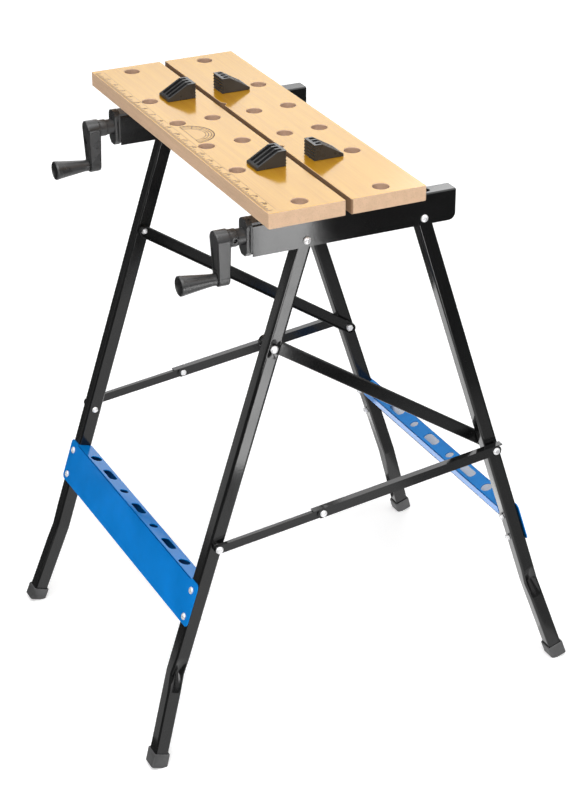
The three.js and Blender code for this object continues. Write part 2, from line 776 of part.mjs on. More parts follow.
// Bars: pressed strips with a rim, inside the legs.
const barFace = legIn - BAR_STAND;
const barFloor = barFace - BAR_WALL;
function bar() {
  const rim = barFace - BAR_DEPTH;
  const strip = push("x", link(barFront, barRear, BAR_R), rim, barFace, 3);
  const dish = push("x", link(barFront, barRear, BAR_R - BAR_WALL), rim - 1, barFloor, 3);
  const holes = [barFront, barRear].map((p) =>
    rod("x", p.x, p.y, boltHole, barFloor - 1, barFace + 1, 8),
  );
  return strip.subtract(join(dish, ...holes));
}
addPair("bar", bar(), BLACK_PAINT);

// Folding braces: the short one nests in the long one, whose web runs past the knee as a stop.
const longIn = legOut + BRACE_STAND;
const longOut = longIn + LONG_WIDTH;
const shortIn = longIn + BRACE_WALL + SIDE_PLAY;
const shortOut = longOut - BRACE_WALL - SIDE_PLAY;
const shortR = LONG_R - BRACE_WALL - SIDE_PLAY;
const braceDir = barRear.clone().sub(braceFront).normalize();
const braceUp = yz(-braceDir.y, braceDir.x);
const braceAt = (from, u, v) =>
  from.clone().addScaledVector(braceDir, u).addScaledVector(braceUp, v);

// An inverted U between two bolts, open below its web.
function strut(p, q, r, x0, x1) {
  const length = q.distanceTo(p);
  const reachPast = 2 * r;
  const open = new THREE.Shape([
    braceAt(p, -reachPast, -reachPast),
    braceAt(p, length + reachPast, -reachPast),
    braceAt(p, length + reachPast, r - BRACE_WALL),
    braceAt(p, -reachPast, r - BRACE_WALL),
  ]);
  const holes = [p, q].map((c) => rod("x", c.x, c.y, boltHole, x0 - 1, x1 + 1, 8));
  return push("x", link(p, q, r), x0, x1, 3).subtract(
    join(push("x", open, x0 + BRACE_WALL, x1 - BRACE_WALL), ...holes),
  );
}
function longBrace() {
  const stop = new THREE.Shape([
    braceAt(knee, -STOP_LENGTH, LONG_R - BRACE_WALL),
    braceAt(knee, LONG_R, LONG_R - BRACE_WALL),
    braceAt(knee, LONG_R, LONG_R),
    braceAt(knee, -STOP_LENGTH, LONG_R),
  ]);
  return strut(knee, barRear, LONG_R, longIn, longOut).add(push("x", stop, longIn, longOut));
}
addPair("brace_short", strut(braceFront, knee, shortR, shortIn, shortOut), BLACK_PAINT);
addPair("brace_long", longBrace(), BLACK_PAINT);

// Pivot bolts. Steps are [x, radius] from the inside out, the last one under the pan head.
function panHead(x, r = HEAD_R, h = HEAD) {
  return [
    [r, x],
    [r, x + h * 0.35],
    [r * 0.7, x + h * 0.85],
    [0, x + h],
  ];
}
function pivotBolt(p, tailX, headX, spacers = []) {
  const r = BOLT / 2;
  const profile = [[0, tailX - TAIL], [TAIL_R * 0.7, tailX - TAIL * 0.85], [TAIL_R, tailX], [r, tailX]];
  for (const [x0, x1] of spacers)
    profile.push([r, x0], [SPACER_R, x0], [SPACER_R, x1], [r, x1]);
  profile.push([r, headX], ...panHead(headX));
  return aim(turn(profile, BOLT_FACETS), across, 0, p.x, p.y);
}
const outside = CHANNEL_X + channelHalf + CLEAR;
const inside = CHANNEL_X - channelHalf - CLEAR;
addPair("bolt_top_front", pivotBolt(front.pivot, inside, outside), ZINC);
addPair("bolt_top_rear", pivotBolt(rear.pivot, inside, outside), ZINC);
addPair(
  "bolt_bar",
  pivotBolt(barFront, barFloor - CLEAR, legOut + CLEAR, [[barFace + CLEAR, legIn - CLEAR]]),
  ZINC,
);
addPair(
  "bolt_brace",
  pivotBolt(braceFront, legIn - CLEAR, shortOut + CLEAR, [[legOut + CLEAR, shortIn - CLEAR]]),
  ZINC,
);

// The knee rivet has a flat inner head, to pass the leg.
function kneeRivet() {
  const r = BOLT / 2;
  const flat = BRACE_STAND - 3 * CLEAR;
  const profile = [
    [0, longIn - CLEAR - flat],
    [TAIL_R, longIn - CLEAR - flat],
    [TAIL_R, longIn - CLEAR],
    [r, longIn - CLEAR],
    [r, longOut + CLEAR],
    ...panHead(longOut + CLEAR, TRAY_HEAD_R, TRAY_HEAD),
  ];
  return aim(turn(profile, BOLT_FACETS), across, 0, knee.x, knee.y);
}
addPair("rivet_knee", kneeRivet(), ZINC);

// The rear pivot carries the bar and the long brace, so its bolt is split at the leg's faces.
function rearBoltOuter() {
  const r = BOLT / 2;
  const profile = [
    [0, legOut + CLEAR],
    [SPACER_R, legOut + CLEAR],
    [SPACER_R, longIn - CLEAR],
    [r, longIn - CLEAR],
    [r, longOut + CLEAR],
    ...panHead(longOut + CLEAR),
  ];
  return aim(turn(profile, BOLT_FACETS), across, 0, barRear.x, barRear.y);
}
function rearBoltInner() {
  const r = BOLT / 2;
  const nutX = barFloor - CLEAR;
  const profile = [
    [0, nutX - NUT - 1],
    [r, nutX - NUT - 1],
    [r, barFace + CLEAR],
    [SPACER_R, barFace + CLEAR],
    [SPACER_R, legIn - CLEAR],
    [0, legIn - CLEAR],
  ];
  return aim(turn(profile, BOLT_FACETS), across, 0, barRear.x, barRear.y).add(
    rod("x", barRear.x, barRear.y, NUT_R, nutX - NUT, nutX, 6),
  );
}
addPair("bolt_rear_outer", rearBoltOuter(), ZINC);
addPair("bolt_rear_inner", rearBoltInner(), ZINC);

// Tray bolts, square to the legs, with the nuts between the legs' inner faces.
function trayBolt(leg, s) {
  const r = TRAY_BOLT / 2;
  const head = LEG / 2 + 2 * CLEAR + TRAY_SHEET;
  const nutAt = -LEG / 2 - CLEAR;
  const p = leg.at(TRAY_AT + s);
  const nut = NUT - 0.5;
  const profile = [
    [0, nutAt - nut - 1],
    [r, nutAt - nut - 1],
    [r, head],
    ...panHead(head, TRAY_HEAD_R, TRAY_HEAD),
  ];
  const hexR = NUT_R - 0.6;
  const hex = turn([[0, nutAt - nut], [hexR, nutAt - nut], [hexR, nutAt], [0, nutAt]], 6);
  const out = new THREE.Vector3(0, leg.normal.x, leg.normal.y);
  return aim(turn(profile, BOLT_FACETS).add(hex), out, CHANNEL_X, p.x, p.y);
}
for (const [row, leg] of [
  ["front", front],
  ["rear", rear],
]) {
  addPair(`tray_bolt_${row}_upper`, trayBolt(leg, TRAY_BOLTS[0]), ZINC);
  addPair(`tray_bolt_${row}_lower`, trayBolt(leg, TRAY_BOLTS[1]), ZINC);
}

export default part;
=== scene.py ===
"""Finished pieces of a folding workbench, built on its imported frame.

Shapes are drawn in millimetres in the frame's own axes and scaled to metres when a piece is finished.
X runs along the jaws, -Y is the crank side and +Z is up.
"""

import json
import math

import bmesh
import bpy
from bpy.props import FloatProperty, FloatVectorProperty, IntProperty, PointerProperty
from mathutils import Matrix, Vector


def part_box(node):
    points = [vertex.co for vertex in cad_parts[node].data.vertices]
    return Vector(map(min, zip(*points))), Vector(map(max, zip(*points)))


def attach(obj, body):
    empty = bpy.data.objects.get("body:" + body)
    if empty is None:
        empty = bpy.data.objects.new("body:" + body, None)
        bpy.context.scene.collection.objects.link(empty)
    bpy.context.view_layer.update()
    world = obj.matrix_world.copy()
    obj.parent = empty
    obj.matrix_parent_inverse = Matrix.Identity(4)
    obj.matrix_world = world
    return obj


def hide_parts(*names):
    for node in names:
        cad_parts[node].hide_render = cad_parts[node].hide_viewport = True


bl_info = {
    "name": "Folding workbench",
    "version": (1, 0, 0),
    "blender": (4, 5, 0),
    "location": "3D View > Sidebar > Workbench",
    "description": "Builds the finished pieces of a folding workbench on its frame",
    "category": "Object",
}

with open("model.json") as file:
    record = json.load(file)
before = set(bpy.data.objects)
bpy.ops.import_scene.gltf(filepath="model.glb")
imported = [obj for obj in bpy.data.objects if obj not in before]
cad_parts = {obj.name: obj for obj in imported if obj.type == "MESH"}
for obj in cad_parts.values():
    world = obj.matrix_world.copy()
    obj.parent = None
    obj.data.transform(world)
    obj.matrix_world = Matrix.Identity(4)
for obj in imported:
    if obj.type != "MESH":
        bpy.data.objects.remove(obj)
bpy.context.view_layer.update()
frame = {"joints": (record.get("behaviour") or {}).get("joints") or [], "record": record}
BODY_OF = {
    node: body
    for body, nodes in frame["record"]["behaviour"]["bodies"].items()
    for node in nodes
}
OPENINGS = {o["name"]: o["box_m"] for o in frame["record"]["physics"]["openings"]}
JOINT_AT = {j["name"]: j.get("pos_m") for j in frame["joints"]}
MM = 0.001

# The frame's drawing, in millimetres
CLEAR = 0.3
CHANNEL_X = 206.5
SCREW_Z = 702.0
GRIP_Z = 653.0
GRIP_CUP = 12.0
HUB = 12.5
BOSS = 9.5
HUB_LEAN = 3.0
LEG = 19.0
LEG_WALL = 1.5
LEG_ROUND = 2.6
LEG_IN = CHANNEL_X - LEG / 2
LEG_OUT = CHANNEL_X + LEG / 2
FOOT_X = 225.5
FOOT_Y = 299.5
KINK_HEIGHT = 120.0
CAP = 23.0
CAP_HEIGHT = 18.5
CAP_FLOOR = 5.0
CAP_LAND = 8.0
BAR_AT = 142.0
BRACE_AT = 409.5
TRAY_AT = 464.0
TRAY_BOLTS = (13.0, 50.0)
TRAY_PITCH = 51.0
TRAY_BIG = 16.0
TRAY_SMALL = 12.0
TRAY_SLOT = 31.0
BOLT_HOLE = 3.3


def yz(point_m):
    """The Y and Z of a point in metres, in millimetres."""
    return Vector((point_m[1] / MM, point_m[2] / MM))


PIVOT_FRONT = yz(JOINT_AT["top_fold"])
PIVOT_REAR = yz(JOINT_AT["rear_leg_fold"])
BAR_FRONT = yz(JOINT_AT["bar_fold"])
BRACE_FRONT = yz(JOINT_AT["brace_fold"])
KNEE = yz(JOINT_AT["knee_fold"])
REAR_BOX = [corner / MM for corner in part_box("bolt_rear_outer_right")]
BAR_REAR = Vector(((REAR_BOX[0].y + REAR_BOX[1].y) / 2, (REAR_BOX[0].z + REAR_BOX[1].z) / 2))


class LegLine:
    """A leg's centre line: s runs down from the pivot and n points to the outside."""

    def __init__(self, pivot, foot_y):
        run = Vector((foot_y, 0.0)) - pivot
        self.pivot = pivot
        self.length = run.length
        self.down = run.normalized()
        self.out = Vector((-self.down.y, self.down.x)) * math.copysign(1, foot_y)
        self.kink = self.length * (1 - KINK_HEIGHT / pivot.y)
        self.splay = (FOOT_X - CHANNEL_X) / (self.length - self.kink)
        self.cap_end = (pivot.y + self.out.y * (CAP_LAND - CAP / 2)) / -self.down.y

    def matrix(self, x=CHANNEL_X):
        """Takes (across, out, down) to the frame's axes."""
        return Matrix(
            (
                (1, 0, 0, x),
                (0, self.out.x, self.down.x, self.pivot.x),
                (0, self.out.y, self.down.y, self.pivot.y),
                (0, 0, 0, 1),
            )
        )

    def along(self, point):
        """How far down the leg a point lies."""
        return (point - self.pivot).dot(self.down)


FRONT = LegLine(PIVOT_FRONT, -FOOT_Y)
REAR = LegLine(PIVOT_REAR, FOOT_Y)


# Settings


class WoodSettings(bpy.types.PropertyGroup):
    edge_round: FloatProperty(
        name="Edge rounding", description="Radius along the boards' edges",
        default=0.0009, unit="LENGTH", precision=5,
    )
    hole_rim: FloatProperty(
        name="Hole rim", description="Chamfer round the dog holes",
        default=0.0007, unit="LENGTH", precision=5,
    )
    stroke: FloatProperty(
        name="Print stroke", description="Width of the printed scale's lines",
        default=0.0007, unit="LENGTH", precision=5,
    )
    board: FloatVectorProperty(
        name="Board", description="Colour of the wood under the varnish",
        default=(0.62, 0.48, 0.29), subtype="COLOR", size=3,
    )
    board_dark: FloatVectorProperty(
        name="Board grain", description="Colour of the darker streaks under the varnish",
        default=(0.50, 0.325, 0.176), subtype="COLOR", size=3,
    )
    varnish: FloatVectorProperty(
        name="Varnish", description="Colour of light that has passed through the varnish",
        default=(0.89, 0.615, 0.08), subtype="COLOR", size=3,
    )
    edge: FloatVectorProperty(
        name="Board edge", description="Colour of the sawn edges",
        default=(0.66, 0.44, 0.28), subtype="COLOR", size=3,
    )
    hole: FloatVectorProperty(
        name="Hole wall", description="Colour inside the dog holes",
        default=(0.50, 0.33, 0.23), subtype="COLOR", size=3,
    )
    # The gripping edges face each other across the gap between the jaws; their much darker colour is painted
    # shade
    grip: FloatVectorProperty(
        name="Gripping edge", description="Colour of the edges that the jaws grip with",
        default=(0.26, 0.15, 0.08), subtype="COLOR", size=3,
    )
    ink: FloatVectorProperty(
        name="Print", description="Colour of the printed scale",
        default=(0.03, 0.014, 0.007), subtype="COLOR", size=3,
    )


class PaintSettings(bpy.types.PropertyGroup):
    black: FloatVectorProperty(
        name="Black paint", description="Colour of the gloss paint on the stand",
        default=(0.0055, 0.0056, 0.0058), subtype="COLOR", size=3,
    )
    blue: FloatVectorProperty(
        name="Blue paint", description="Colour of the gloss paint on the trays",
        default=(0.0, 0.178, 0.56), subtype="COLOR", size=3,
    )
    sheet_round: FloatProperty(
        name="Fold radius", description="Outside radius of a folded sheet",
        default=0.0022, unit="LENGTH", precision=5,
    )


class PlasticSettings(bpy.types.PropertyGroup):
    plastic: FloatVectorProperty(
        name="Plastic", description="Colour of the moulded plastic",
        default=(0.022, 0.022, 0.0225), subtype="COLOR", size=3,
    )
    rubber: FloatVectorProperty(
        name="Foot rubber", description="Colour of the feet",
        default=(0.06, 0.06, 0.061), subtype="COLOR", size=3,
    )
    mould_round: FloatProperty(
        name="Moulded edges", description="Radius along moulded edges",
        default=0.0006, unit="LENGTH", precision=5,
    )


class HardwareSettings(bpy.types.PropertyGroup):
    zinc: FloatVectorProperty(
        name="Zinc", description="Colour of the plated bolts and screws",
        default=(0.93, 0.93, 0.94), subtype="COLOR", size=3,
    )
    thread_pitch: FloatProperty(
        name="Thread pitch", description="Lead of the clamp screws",
        default=0.005, unit="LENGTH", precision=5,
    )
    facets: IntProperty(
        name="Facets", description="Faces round a turned piece", default=32, min=12, max=96,
    )


class StageSettings(bpy.types.PropertyGroup):
    floor: FloatVectorProperty(
        name="Floor", description="Colour of the floor",
        default=(0.93, 0.93, 0.93), subtype="COLOR", size=3,
    )
    camera: FloatVectorProperty(
        name="Camera", description="Where the camera stands",
        default=(2.4432, -1.1785, 1.7368), subtype="XYZ", unit="LENGTH", size=3,
    )
    target: FloatVectorProperty(
        name="Target", description="Where the camera looks",
        default=(0.0055, -0.0038, 0.3587), subtype="XYZ", unit="LENGTH", size=3,
    )
    lens: FloatProperty(
        name="Lens", description="Focal length on a 36 mm sensor, in millimetres", default=101.97,
    )
    surround: FloatProperty(
        name="Surround", description="Strength of the white surround", default=0.32,
    )


# Shapes


def millimetres(value):
    """A setting in metres, in the drawing's millimetres."""
    return value / MM


AXES = {
    "x": Matrix(((0, 0, 1), (1, 0, 0), (0, 1, 0))).to_4x4(),
    "y": Matrix(((1, 0, 0), (0, 0, 1), (0, 1, 0))).to_4x4(),
    "z": Matrix.Identity(4),
}


def move(bm, matrix):
    """Transforms a whole shape and keeps its faces pointing outwards."""
    bmesh.ops.transform(bm, matrix=matrix, verts=bm.verts[:])
    if matrix.determinant() < 0:
        bmesh.ops.reverse_faces(bm, faces=bm.faces[:])
    return bm


def copy_of(bm, matrix=None):
    """A copy of a shape, moved if a matrix is given."""
    twin = bm.copy()
    if matrix is not None:
        move(twin, matrix)
    return twin


def round_corners(bm, corners, radius, segments=6):
    """Rounds chosen corners of a flat face or sheet."""
    bmesh.ops.bevel(
        bm, geom=corners, offset=radius, offset_type="OFFSET", affect="VERTICES",
        segments=segments, profile=0.5, material=-1, clamp_overlap=True,
    )


def bevel(bm, edges, width, segments=2):
    """Rounds chosen edges."""
    bmesh.ops.bevel(
        bm, geom=edges, offset=width, offset_type="OFFSET", affect="EDGES",
        segments=segments, profile=0.5, material=-1, clamp_overlap=True,
    )


def soften(bm, width, segments=2, sharper=35, pick=None):
    """Rounds the edges that are sharper than an angle."""
    limit = math.radians(sharper)
    edges = [
        e for e in bm.edges
        if len(e.link_faces) == 2 and e.calc_face_angle(0) > limit and (pick is None or pick(e))
    ]
    bevel(bm, edges, width, segments)
    return bm


def push(points, low, high, axis="z", rounds=()):
    """A flat outline pushed along an axis. Rounds are (radius, corner numbers) pairs.

    The outline's plane is YZ for x, XZ for y and XY for z.
    """
    bm = bmesh.new()
    corners = [bm.verts.new((a, b, low)) for a, b in points]
    bm.faces.new(corners)
    for radius, picked in rounds:
        round_corners(bm, [corners[i] for i in picked], radius)
    made = bmesh.ops.extrude_face_region(bm, geom=bm.faces[:])
    raised = [g for g in made["geom"] if isinstance(g, bmesh.types.BMVert)]
    bmesh.ops.translate(bm, vec=(0, 0, high - low), verts=raised)
    bmesh.ops.transform(bm, matrix=AXES[axis], verts=bm.verts[:])
    bmesh.ops.recalc_face_normals(bm, faces=bm.faces[:])
    return bm


def block(x0, x1, y0, y1, z0, z1):
    """A box between two corners."""
    return push(((x0, y0), (x1, y0), (x1, y1), (x0, y1)), z0, z1)


def turned(profile, start=(0, 0, 0), along=(0, 0, 1), facets=32):
    """A turned shape. Its profile holds (radius, distance along the axis) pairs."""
    bm = bmesh.new()
    verts = [bm.verts.new((r, 0, h)) for r, h in profile]
    edges = [bm.edges.new(pair) for pair in zip(verts, verts[1:])]
    if profile[0][0] > 0:
        edges.append(bm.edges.new((verts[-1], verts[0])))
    bmesh.ops.spin(
        bm, geom=verts + edges, cent=(0, 0, 0), axis=(0, 0, 1),
        angle=2 * math.pi, steps=facets, use_merge=True,
    )
    bmesh.ops.remove_doubles(bm, verts=bm.verts[:], dist=1e-4)
    turn = Vector(along).to_track_quat("Z", "Y").to_matrix().to_4x4()
    bmesh.ops.transform(bm, matrix=Matrix.Translation(start) @ turn, verts=bm.verts[:])
    bmesh.ops.recalc_face_normals(bm, faces=bm.faces[:])
    return bm


def rod(radius, low, high, a, b, axis="x", facets=32):
    """A round bar along an axis, through the outline point (a, b)."""
    bm = turned([(0, low), (radius, low), (radius, high), (0, high)], facets=facets)
    bmesh.ops.translate(bm, vec=(a, b, 0), verts=bm.verts[:])
    return move(bm, AXES[axis])


def strap(p, q, radius_p, radius_q, low, high, axis="x", facets=32):
    """A flat bar with two round ends joined by their tangents."""
    bm = bmesh.new()
    for centre, radius in ((p, radius_p), (q, radius_q)):
        for level in (low, high):
            at = Matrix.Translation((centre[0], centre[1], level))
            bmesh.ops.create_circle(bm, segments=facets, radius=radius, matrix=at)
    bmesh.ops.convex_hull(bm, input=bm.verts[:])
    bmesh.ops.dissolve_limit(
        bm, angle_limit=math.radians(1), verts=bm.verts[:], edges=bm.edges[:]
    )
    loose = [v for v in bm.verts if not v.link_faces]
    bmesh.ops.delete(bm, geom=loose, context="VERTS")
    bmesh.ops.transform(bm, matrix=AXES[axis], verts=bm.verts[:])
    bmesh.ops.recalc_face_normals(bm, faces=bm.faces[:])
    return bm


def gather(*shapes):
    """Several shapes in one bmesh."""
    whole = bmesh.new()
    for shape in shapes:
        mesh = bpy.data.meshes.new("gathered")
        shape.to_mesh(mesh)
        shape.free()
        whole.from_mesh(mesh)
        bpy.data.meshes.remove(mesh)
    return whole


def stand_in(bm, name):
    """A short-lived object that carries a shape through a modifier."""
    mesh = bpy.data.meshes.new(name)
    bm.to_mesh(mesh)
    holder = bpy.data.objects.new(name, mesh)
    bpy.context.scene.collection.objects.link(holder)
    return holder


def take_back(bm, holder):
    """Reads a stand-in's modified shape back and removes it."""
    bpy.context.view_layer.update()
    result = holder.evaluated_get(bpy.context.evaluated_depsgraph_get()).to_mesh()
    bm.clear()
    bm.from_mesh(result)
    drop(holder)
    return bm


def drop(holder):
    """Removes a stand-in and its mesh."""
    mesh = holder.data
    bpy.data.objects.remove(holder)
    bpy.data.meshes.remove(mesh)


def carve(bm, tool, operation="DIFFERENCE"):
    """Cuts or joins two closed shapes. The tool is used up."""
    holder = stand_in(bm, "carved")
    knife = stand_in(tool, "knife")
    tool.free()
    cut = holder.modifiers.new("Cut", "BOOLEAN")
    cut.object = knife
    cut.operation = operation
    cut.solver = "EXACT"
    take_back(bm, holder)
    drop(knife)
    if not bm.faces:
        raise RuntimeError("a cut left nothing of a piece")
    bmesh.ops.remove_doubles(bm, verts=bm.verts[:], dist=1e-3)
    bmesh.ops.dissolve_degenerate(bm, edges=bm.edges[:], dist=1e-4)
    return bm


def thicken(bm, wall, out):
    """Gives a sheet its wall on the inside. Its outermost face along out points that way."""
    bmesh.ops.recalc_face_normals(bm, faces=bm.faces[:])
    bm.normal_update()
    direction = Vector(out)
    outermost = max(bm.faces, key=lambda f: f.calc_center_median().dot(direction))
    if outermost.normal.dot(direction) < 0:
        bmesh.ops.reverse_faces(bm, faces=bm.faces[:])
    holder = stand_in(bm, "sheet")
    wall_of = holder.modifiers.new("Wall", "SOLIDIFY")
    wall_of.thickness = wall
    wall_of.offset = -1
    wall_of.use_even_offset = True
    return take_back(bm, holder)


def finish_piece(name, bm, materials, nodes, body=None, angle=32):
    """Turns a shape into a finished piece that stands for its frame nodes."""
    bmesh.ops.remove_doubles(bm, verts=bm.verts[:], dist=5e-4)
    bmesh.ops.recalc_face_normals(bm, faces=bm.faces[:])
    bmesh.ops.scale(bm, vec=(MM, MM, MM), verts=bm.verts[:])
    mesh = bpy.data.meshes.new(name)
    bm.to_mesh(mesh)
    bm.free()
    for material in materials:
        mesh.materials.append(material)
    mesh.shade_smooth()
    mesh.set_sharp_from_angle(angle=math.radians(angle))
    piece = bpy.data.objects.new(name, mesh)
    bpy.context.scene.collection.objects.link(piece)
    even = piece.modifiers.new("Even shading", "WEIGHTED_NORMAL")
    even.keep_sharp = True
    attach(piece, body or BODY_OF[nodes[0]])
    if nodes:
        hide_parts(*nodes)
    return piece


FLIP = Matrix.Diagonal((-1, 1, 1, 1))


def finish_pair(node, bm, materials):
    """Finishes the right piece as drawn and its mirror image on the left."""
    left = copy_of(bm, FLIP)
    finish_piece(f"{node}_right_finish", bm, materials, [f"{node}_right"])
    finish_piece(f"{node}_left_finish", left, materials, [f"{node}_left"])


# Finishes


def node(tree, kind, place=(0, 0), **values):
    """A shader node with its input values set by name."""
    made = tree.nodes.new(kind)
    made.location = place
    for name, value in values.items():
        made.inputs[name.replace("_", " ")].default_value = value
    return made


def new_group(name, inputs, outputs):
    """An empty node group with named sockets and its group nodes."""
    tree = bpy.data.node_groups.new(name, "ShaderNodeTree")
    for title, default in inputs:
        socket = tree.interface.new_socket(title, in_out="INPUT", socket_type="NodeSocketFloat")
        socket.default_value = default
    for title in outputs:
        tree.interface.new_socket(title, in_out="OUTPUT", socket_type="NodeSocketFloat")
    return tree, tree.nodes.new("NodeGroupInput"), tree.nodes.new("NodeGroupOutput")


def grain_group():
    """Streaks along X: Streak is a colour mask and Height feeds a bump."""
    tree, given, put = new_group(
        "Wood grain", [("Length", 9.0), ("Fineness", 420.0)], ["Streak", "Height"]
    )
    place = tree.nodes.new("ShaderNodeTexCoord")
    stretch = tree.nodes.new("ShaderNodeCombineXYZ")
    tree.links.new(given.outputs["Length"], stretch.inputs["X"])
    tree.links.new(given.outputs["Fineness"], stretch.inputs["Y"])
    tree.links.new(given.outputs["Fineness"], stretch.inputs["Z"])
    drawn = tree.nodes.new("ShaderNodeVectorMath")
    drawn.operation = "MULTIPLY"
    tree.links.new(place.outputs["Object"], drawn.inputs[0])
    tree.links.new(stretch.outputs["Vector"], drawn.inputs[1])
    fine = node(tree, "ShaderNodeTexNoise", Scale=1.0, Detail=4.0, Roughness=0.6)
    tree.links.new(drawn.outputs["Vector"], fine.inputs["Vector"])
    broad = node(tree, "ShaderNodeTexNoise", Scale=0.16, Detail=2.0, Roughness=0.5)
    tree.links.new(drawn.outputs["Vector"], broad.inputs["Vector"])
    blend = tree.nodes.new("ShaderNodeMath")
    blend.operation = "MULTIPLY"
    tree.links.new(fine.outputs["Fac"], blend.inputs[0])
    tree.links.new(broad.outputs["Fac"], blend.inputs[1])
    spread = node(tree, "ShaderNodeMapRange")
    spread.inputs["From Min"].default_value = 0.17
    spread.inputs["From Max"].default_value = 0.36
    tree.links.new(blend.outputs["Value"], spread.inputs["Value"])
    tree.links.new(spread.outputs["Result"], put.inputs["Streak"])
    tree.links.new(fine.outputs["Fac"], put.inputs["Height"])
    return tree


def peel_group():
    """Ripple of sprayed or moulded skin: Height for a bump and Patch for slow variation."""
    tree, given, put = new_group(
        "Skin ripple", [("Scale", 500.0), ("Patch Scale", 14.0)], ["Height", "Patch"]
    )
    place = tree.nodes.new("ShaderNodeTexCoord")
    ripple = node(tree, "ShaderNodeTexNoise", Detail=2.0, Roughness=0.45)
    tree.links.new(place.outputs["Object"], ripple.inputs["Vector"])
    tree.links.new(given.outputs["Scale"], ripple.inputs["Scale"])
    patch = node(tree, "ShaderNodeTexNoise", Detail=3.0, Roughness=0.55)
    tree.links.new(place.outputs["Object"], patch.inputs["Vector"])
    tree.links.new(given.outputs["Patch Scale"], patch.inputs["Scale"])
    tree.links.new(ripple.outputs["Fac"], put.inputs["Height"])
    tree.links.new(patch.outputs["Fac"], put.inputs["Patch"])
    return tree


def speck_group():
    """Small scattered dots: Speck is 1 on a dot, from dust in paint to fibres in board."""
    tree, given, put = new_group("Specks", [("Scale", 300.0), ("Size", 0.18)], ["Speck"])
    place = tree.nodes.new("ShaderNodeTexCoord")
    cells = tree.nodes.new("ShaderNodeTexVoronoi")
    tree.links.new(place.outputs["Object"], cells.inputs["Vector"])
    tree.links.new(given.outputs["Scale"], cells.inputs["Scale"])
    near = tree.nodes.new("ShaderNodeMath")
    near.operation = "LESS_THAN"
    tree.links.new(cells.outputs["Distance"], near.inputs[0])
    tree.links.new(given.outputs["Size"], near.inputs[1])
    tree.links.new(near.outputs["Value"], put.inputs["Speck"])
    return tree


GROUP_MAKERS = {"Wood grain": grain_group, "Skin ripple": peel_group, "Specks": speck_group}


class Finish:
    """A material with the helpers that the finishes below share."""

    def __init__(self, name):
        self.material = bpy.data.materials.new(name)
        self.material.use_nodes = True
        self.tree = self.material.node_tree
        self.shader = self.tree.nodes["Principled BSDF"]

    def set(self, **values):
        """Constant values on the shader's own sockets."""
        for name, value in values.items():
            self.shader.inputs[name.replace("_", " ")].default_value = value

    def group(self, name, **values):
        """A shared node group with this finish's values."""
        made = self.tree.nodes.new("ShaderNodeGroup")
        made.node_tree = bpy.data.node_groups.get(name) or GROUP_MAKERS[name]()
        for title, value in values.items():
            made.inputs[title.replace("_", " ")].default_value = value
        return made

    def span(self, source, low, high, start=0.3, end=0.7):
        """Maps a mask to a range of values."""
        made = node(self.tree, "ShaderNodeMapRange", To_Min=low, To_Max=high)
        made.inputs["From Min"].default_value = start
        made.inputs["From Max"].default_value = end
        self.tree.links.new(source, made.inputs["Value"])
        return made.outputs["Result"]

    def mix(self, mask, first, second):
        """A colour between two colours or sockets, by a mask."""
        made = self.tree.nodes.new("ShaderNodeMix")
        made.data_type = "RGBA"
        self.tree.links.new(mask, made.inputs[0])
        for socket, value in ((made.inputs[6], first), (made.inputs[7], second)):
            if isinstance(value, bpy.types.NodeSocket):
                self.tree.links.new(value, socket)
            else:
                socket.default_value = (*value, 1.0)
        return made.outputs[2]

    def link(self, source, name):
        """Feeds a socket of the shader."""
        self.tree.links.new(source, self.shader.inputs[name])

    def bump(self, height, depth, strength=1.0):
        """Relief of a depth in metres."""
        made = node(self.tree, "ShaderNodeBump", Strength=strength, Distance=depth)
        self.tree.links.new(height, made.inputs["Height"])
        self.link(made.outputs["Normal"], "Normal")


def shade(colour, factor):
    """A darker or lighter tone of a colour."""
    return tuple(min(1.0, c * factor) for c in colour)


def varnished_board(wood):
    finish = Finish("varnished_board")
    grain = finish.group("Wood grain", Length=10.0, Fineness=620.0)
    tone = finish.mix(finish.span(grain.outputs["Streak"], 0.0, 0.85, 0, 1), wood.board, wood.board_dark)
    ripple = finish.group("Skin ripple", Scale=160.0, Patch_Scale=9.0)
    finish.link(
        finish.mix(finish.span(ripple.outputs["Patch"], 0.0, 0.35), tone, shade(wood.board, 1.12)),
        "Base Color",
    )
    finish.link(finish.span(ripple.outputs["Patch"], 0.30, 0.42), "Roughness")
    finish.set(Coat_Weight=1.0, Coat_Roughness=0.13, Coat_IOR=1.6)
    finish.set(Coat_Tint=(*wood.varnish, 1.0))
    finish.bump(grain.outputs["Height"], 0.00003, 0.35)
    return finish.material


def sawn_edge(wood, name, colour):
    finish = Finish(name)
    grain = finish.group("Wood grain", Length=60.0, Fineness=700.0)
    fibres = finish.group("Specks", Scale=420.0, Size=0.26)
    tone = finish.mix(finish.span(grain.outputs["Streak"], 0.0, 0.6, 0, 1), colour, shade(colour, 0.82))
    finish.link(
        finish.mix(finish.span(fibres.outputs["Speck"], 0.0, 0.4, 0, 1), tone, shade(colour, 0.66)),
        "Base Color",
    )
    finish.link(finish.span(grain.outputs["Streak"], 0.55, 0.72, 0, 1), "Roughness")
    finish.set(Specular_IOR_Level=0.3)
    finish.bump(grain.outputs["Height"], 0.00012, 0.5)
    return finish.material


def printed_ink(wood):
    finish = Finish("printed_scale")
    ripple = finish.group("Skin ripple", Scale=900.0, Patch_Scale=60.0)
    finish.link(
        finish.mix(finish.span(ripple.outputs["Patch"], 0.0, 1.0), wood.ink, shade(wood.ink, 1.9)),
        "Base Color",
    )
    finish.link(finish.span(ripple.outputs["Height"], 0.5, 0.7), "Roughness")
    finish.set(Specular_IOR_Level=0.12)
    finish.bump(ripple.outputs["Height"], 0.00001, 0.3)
    return finish.material


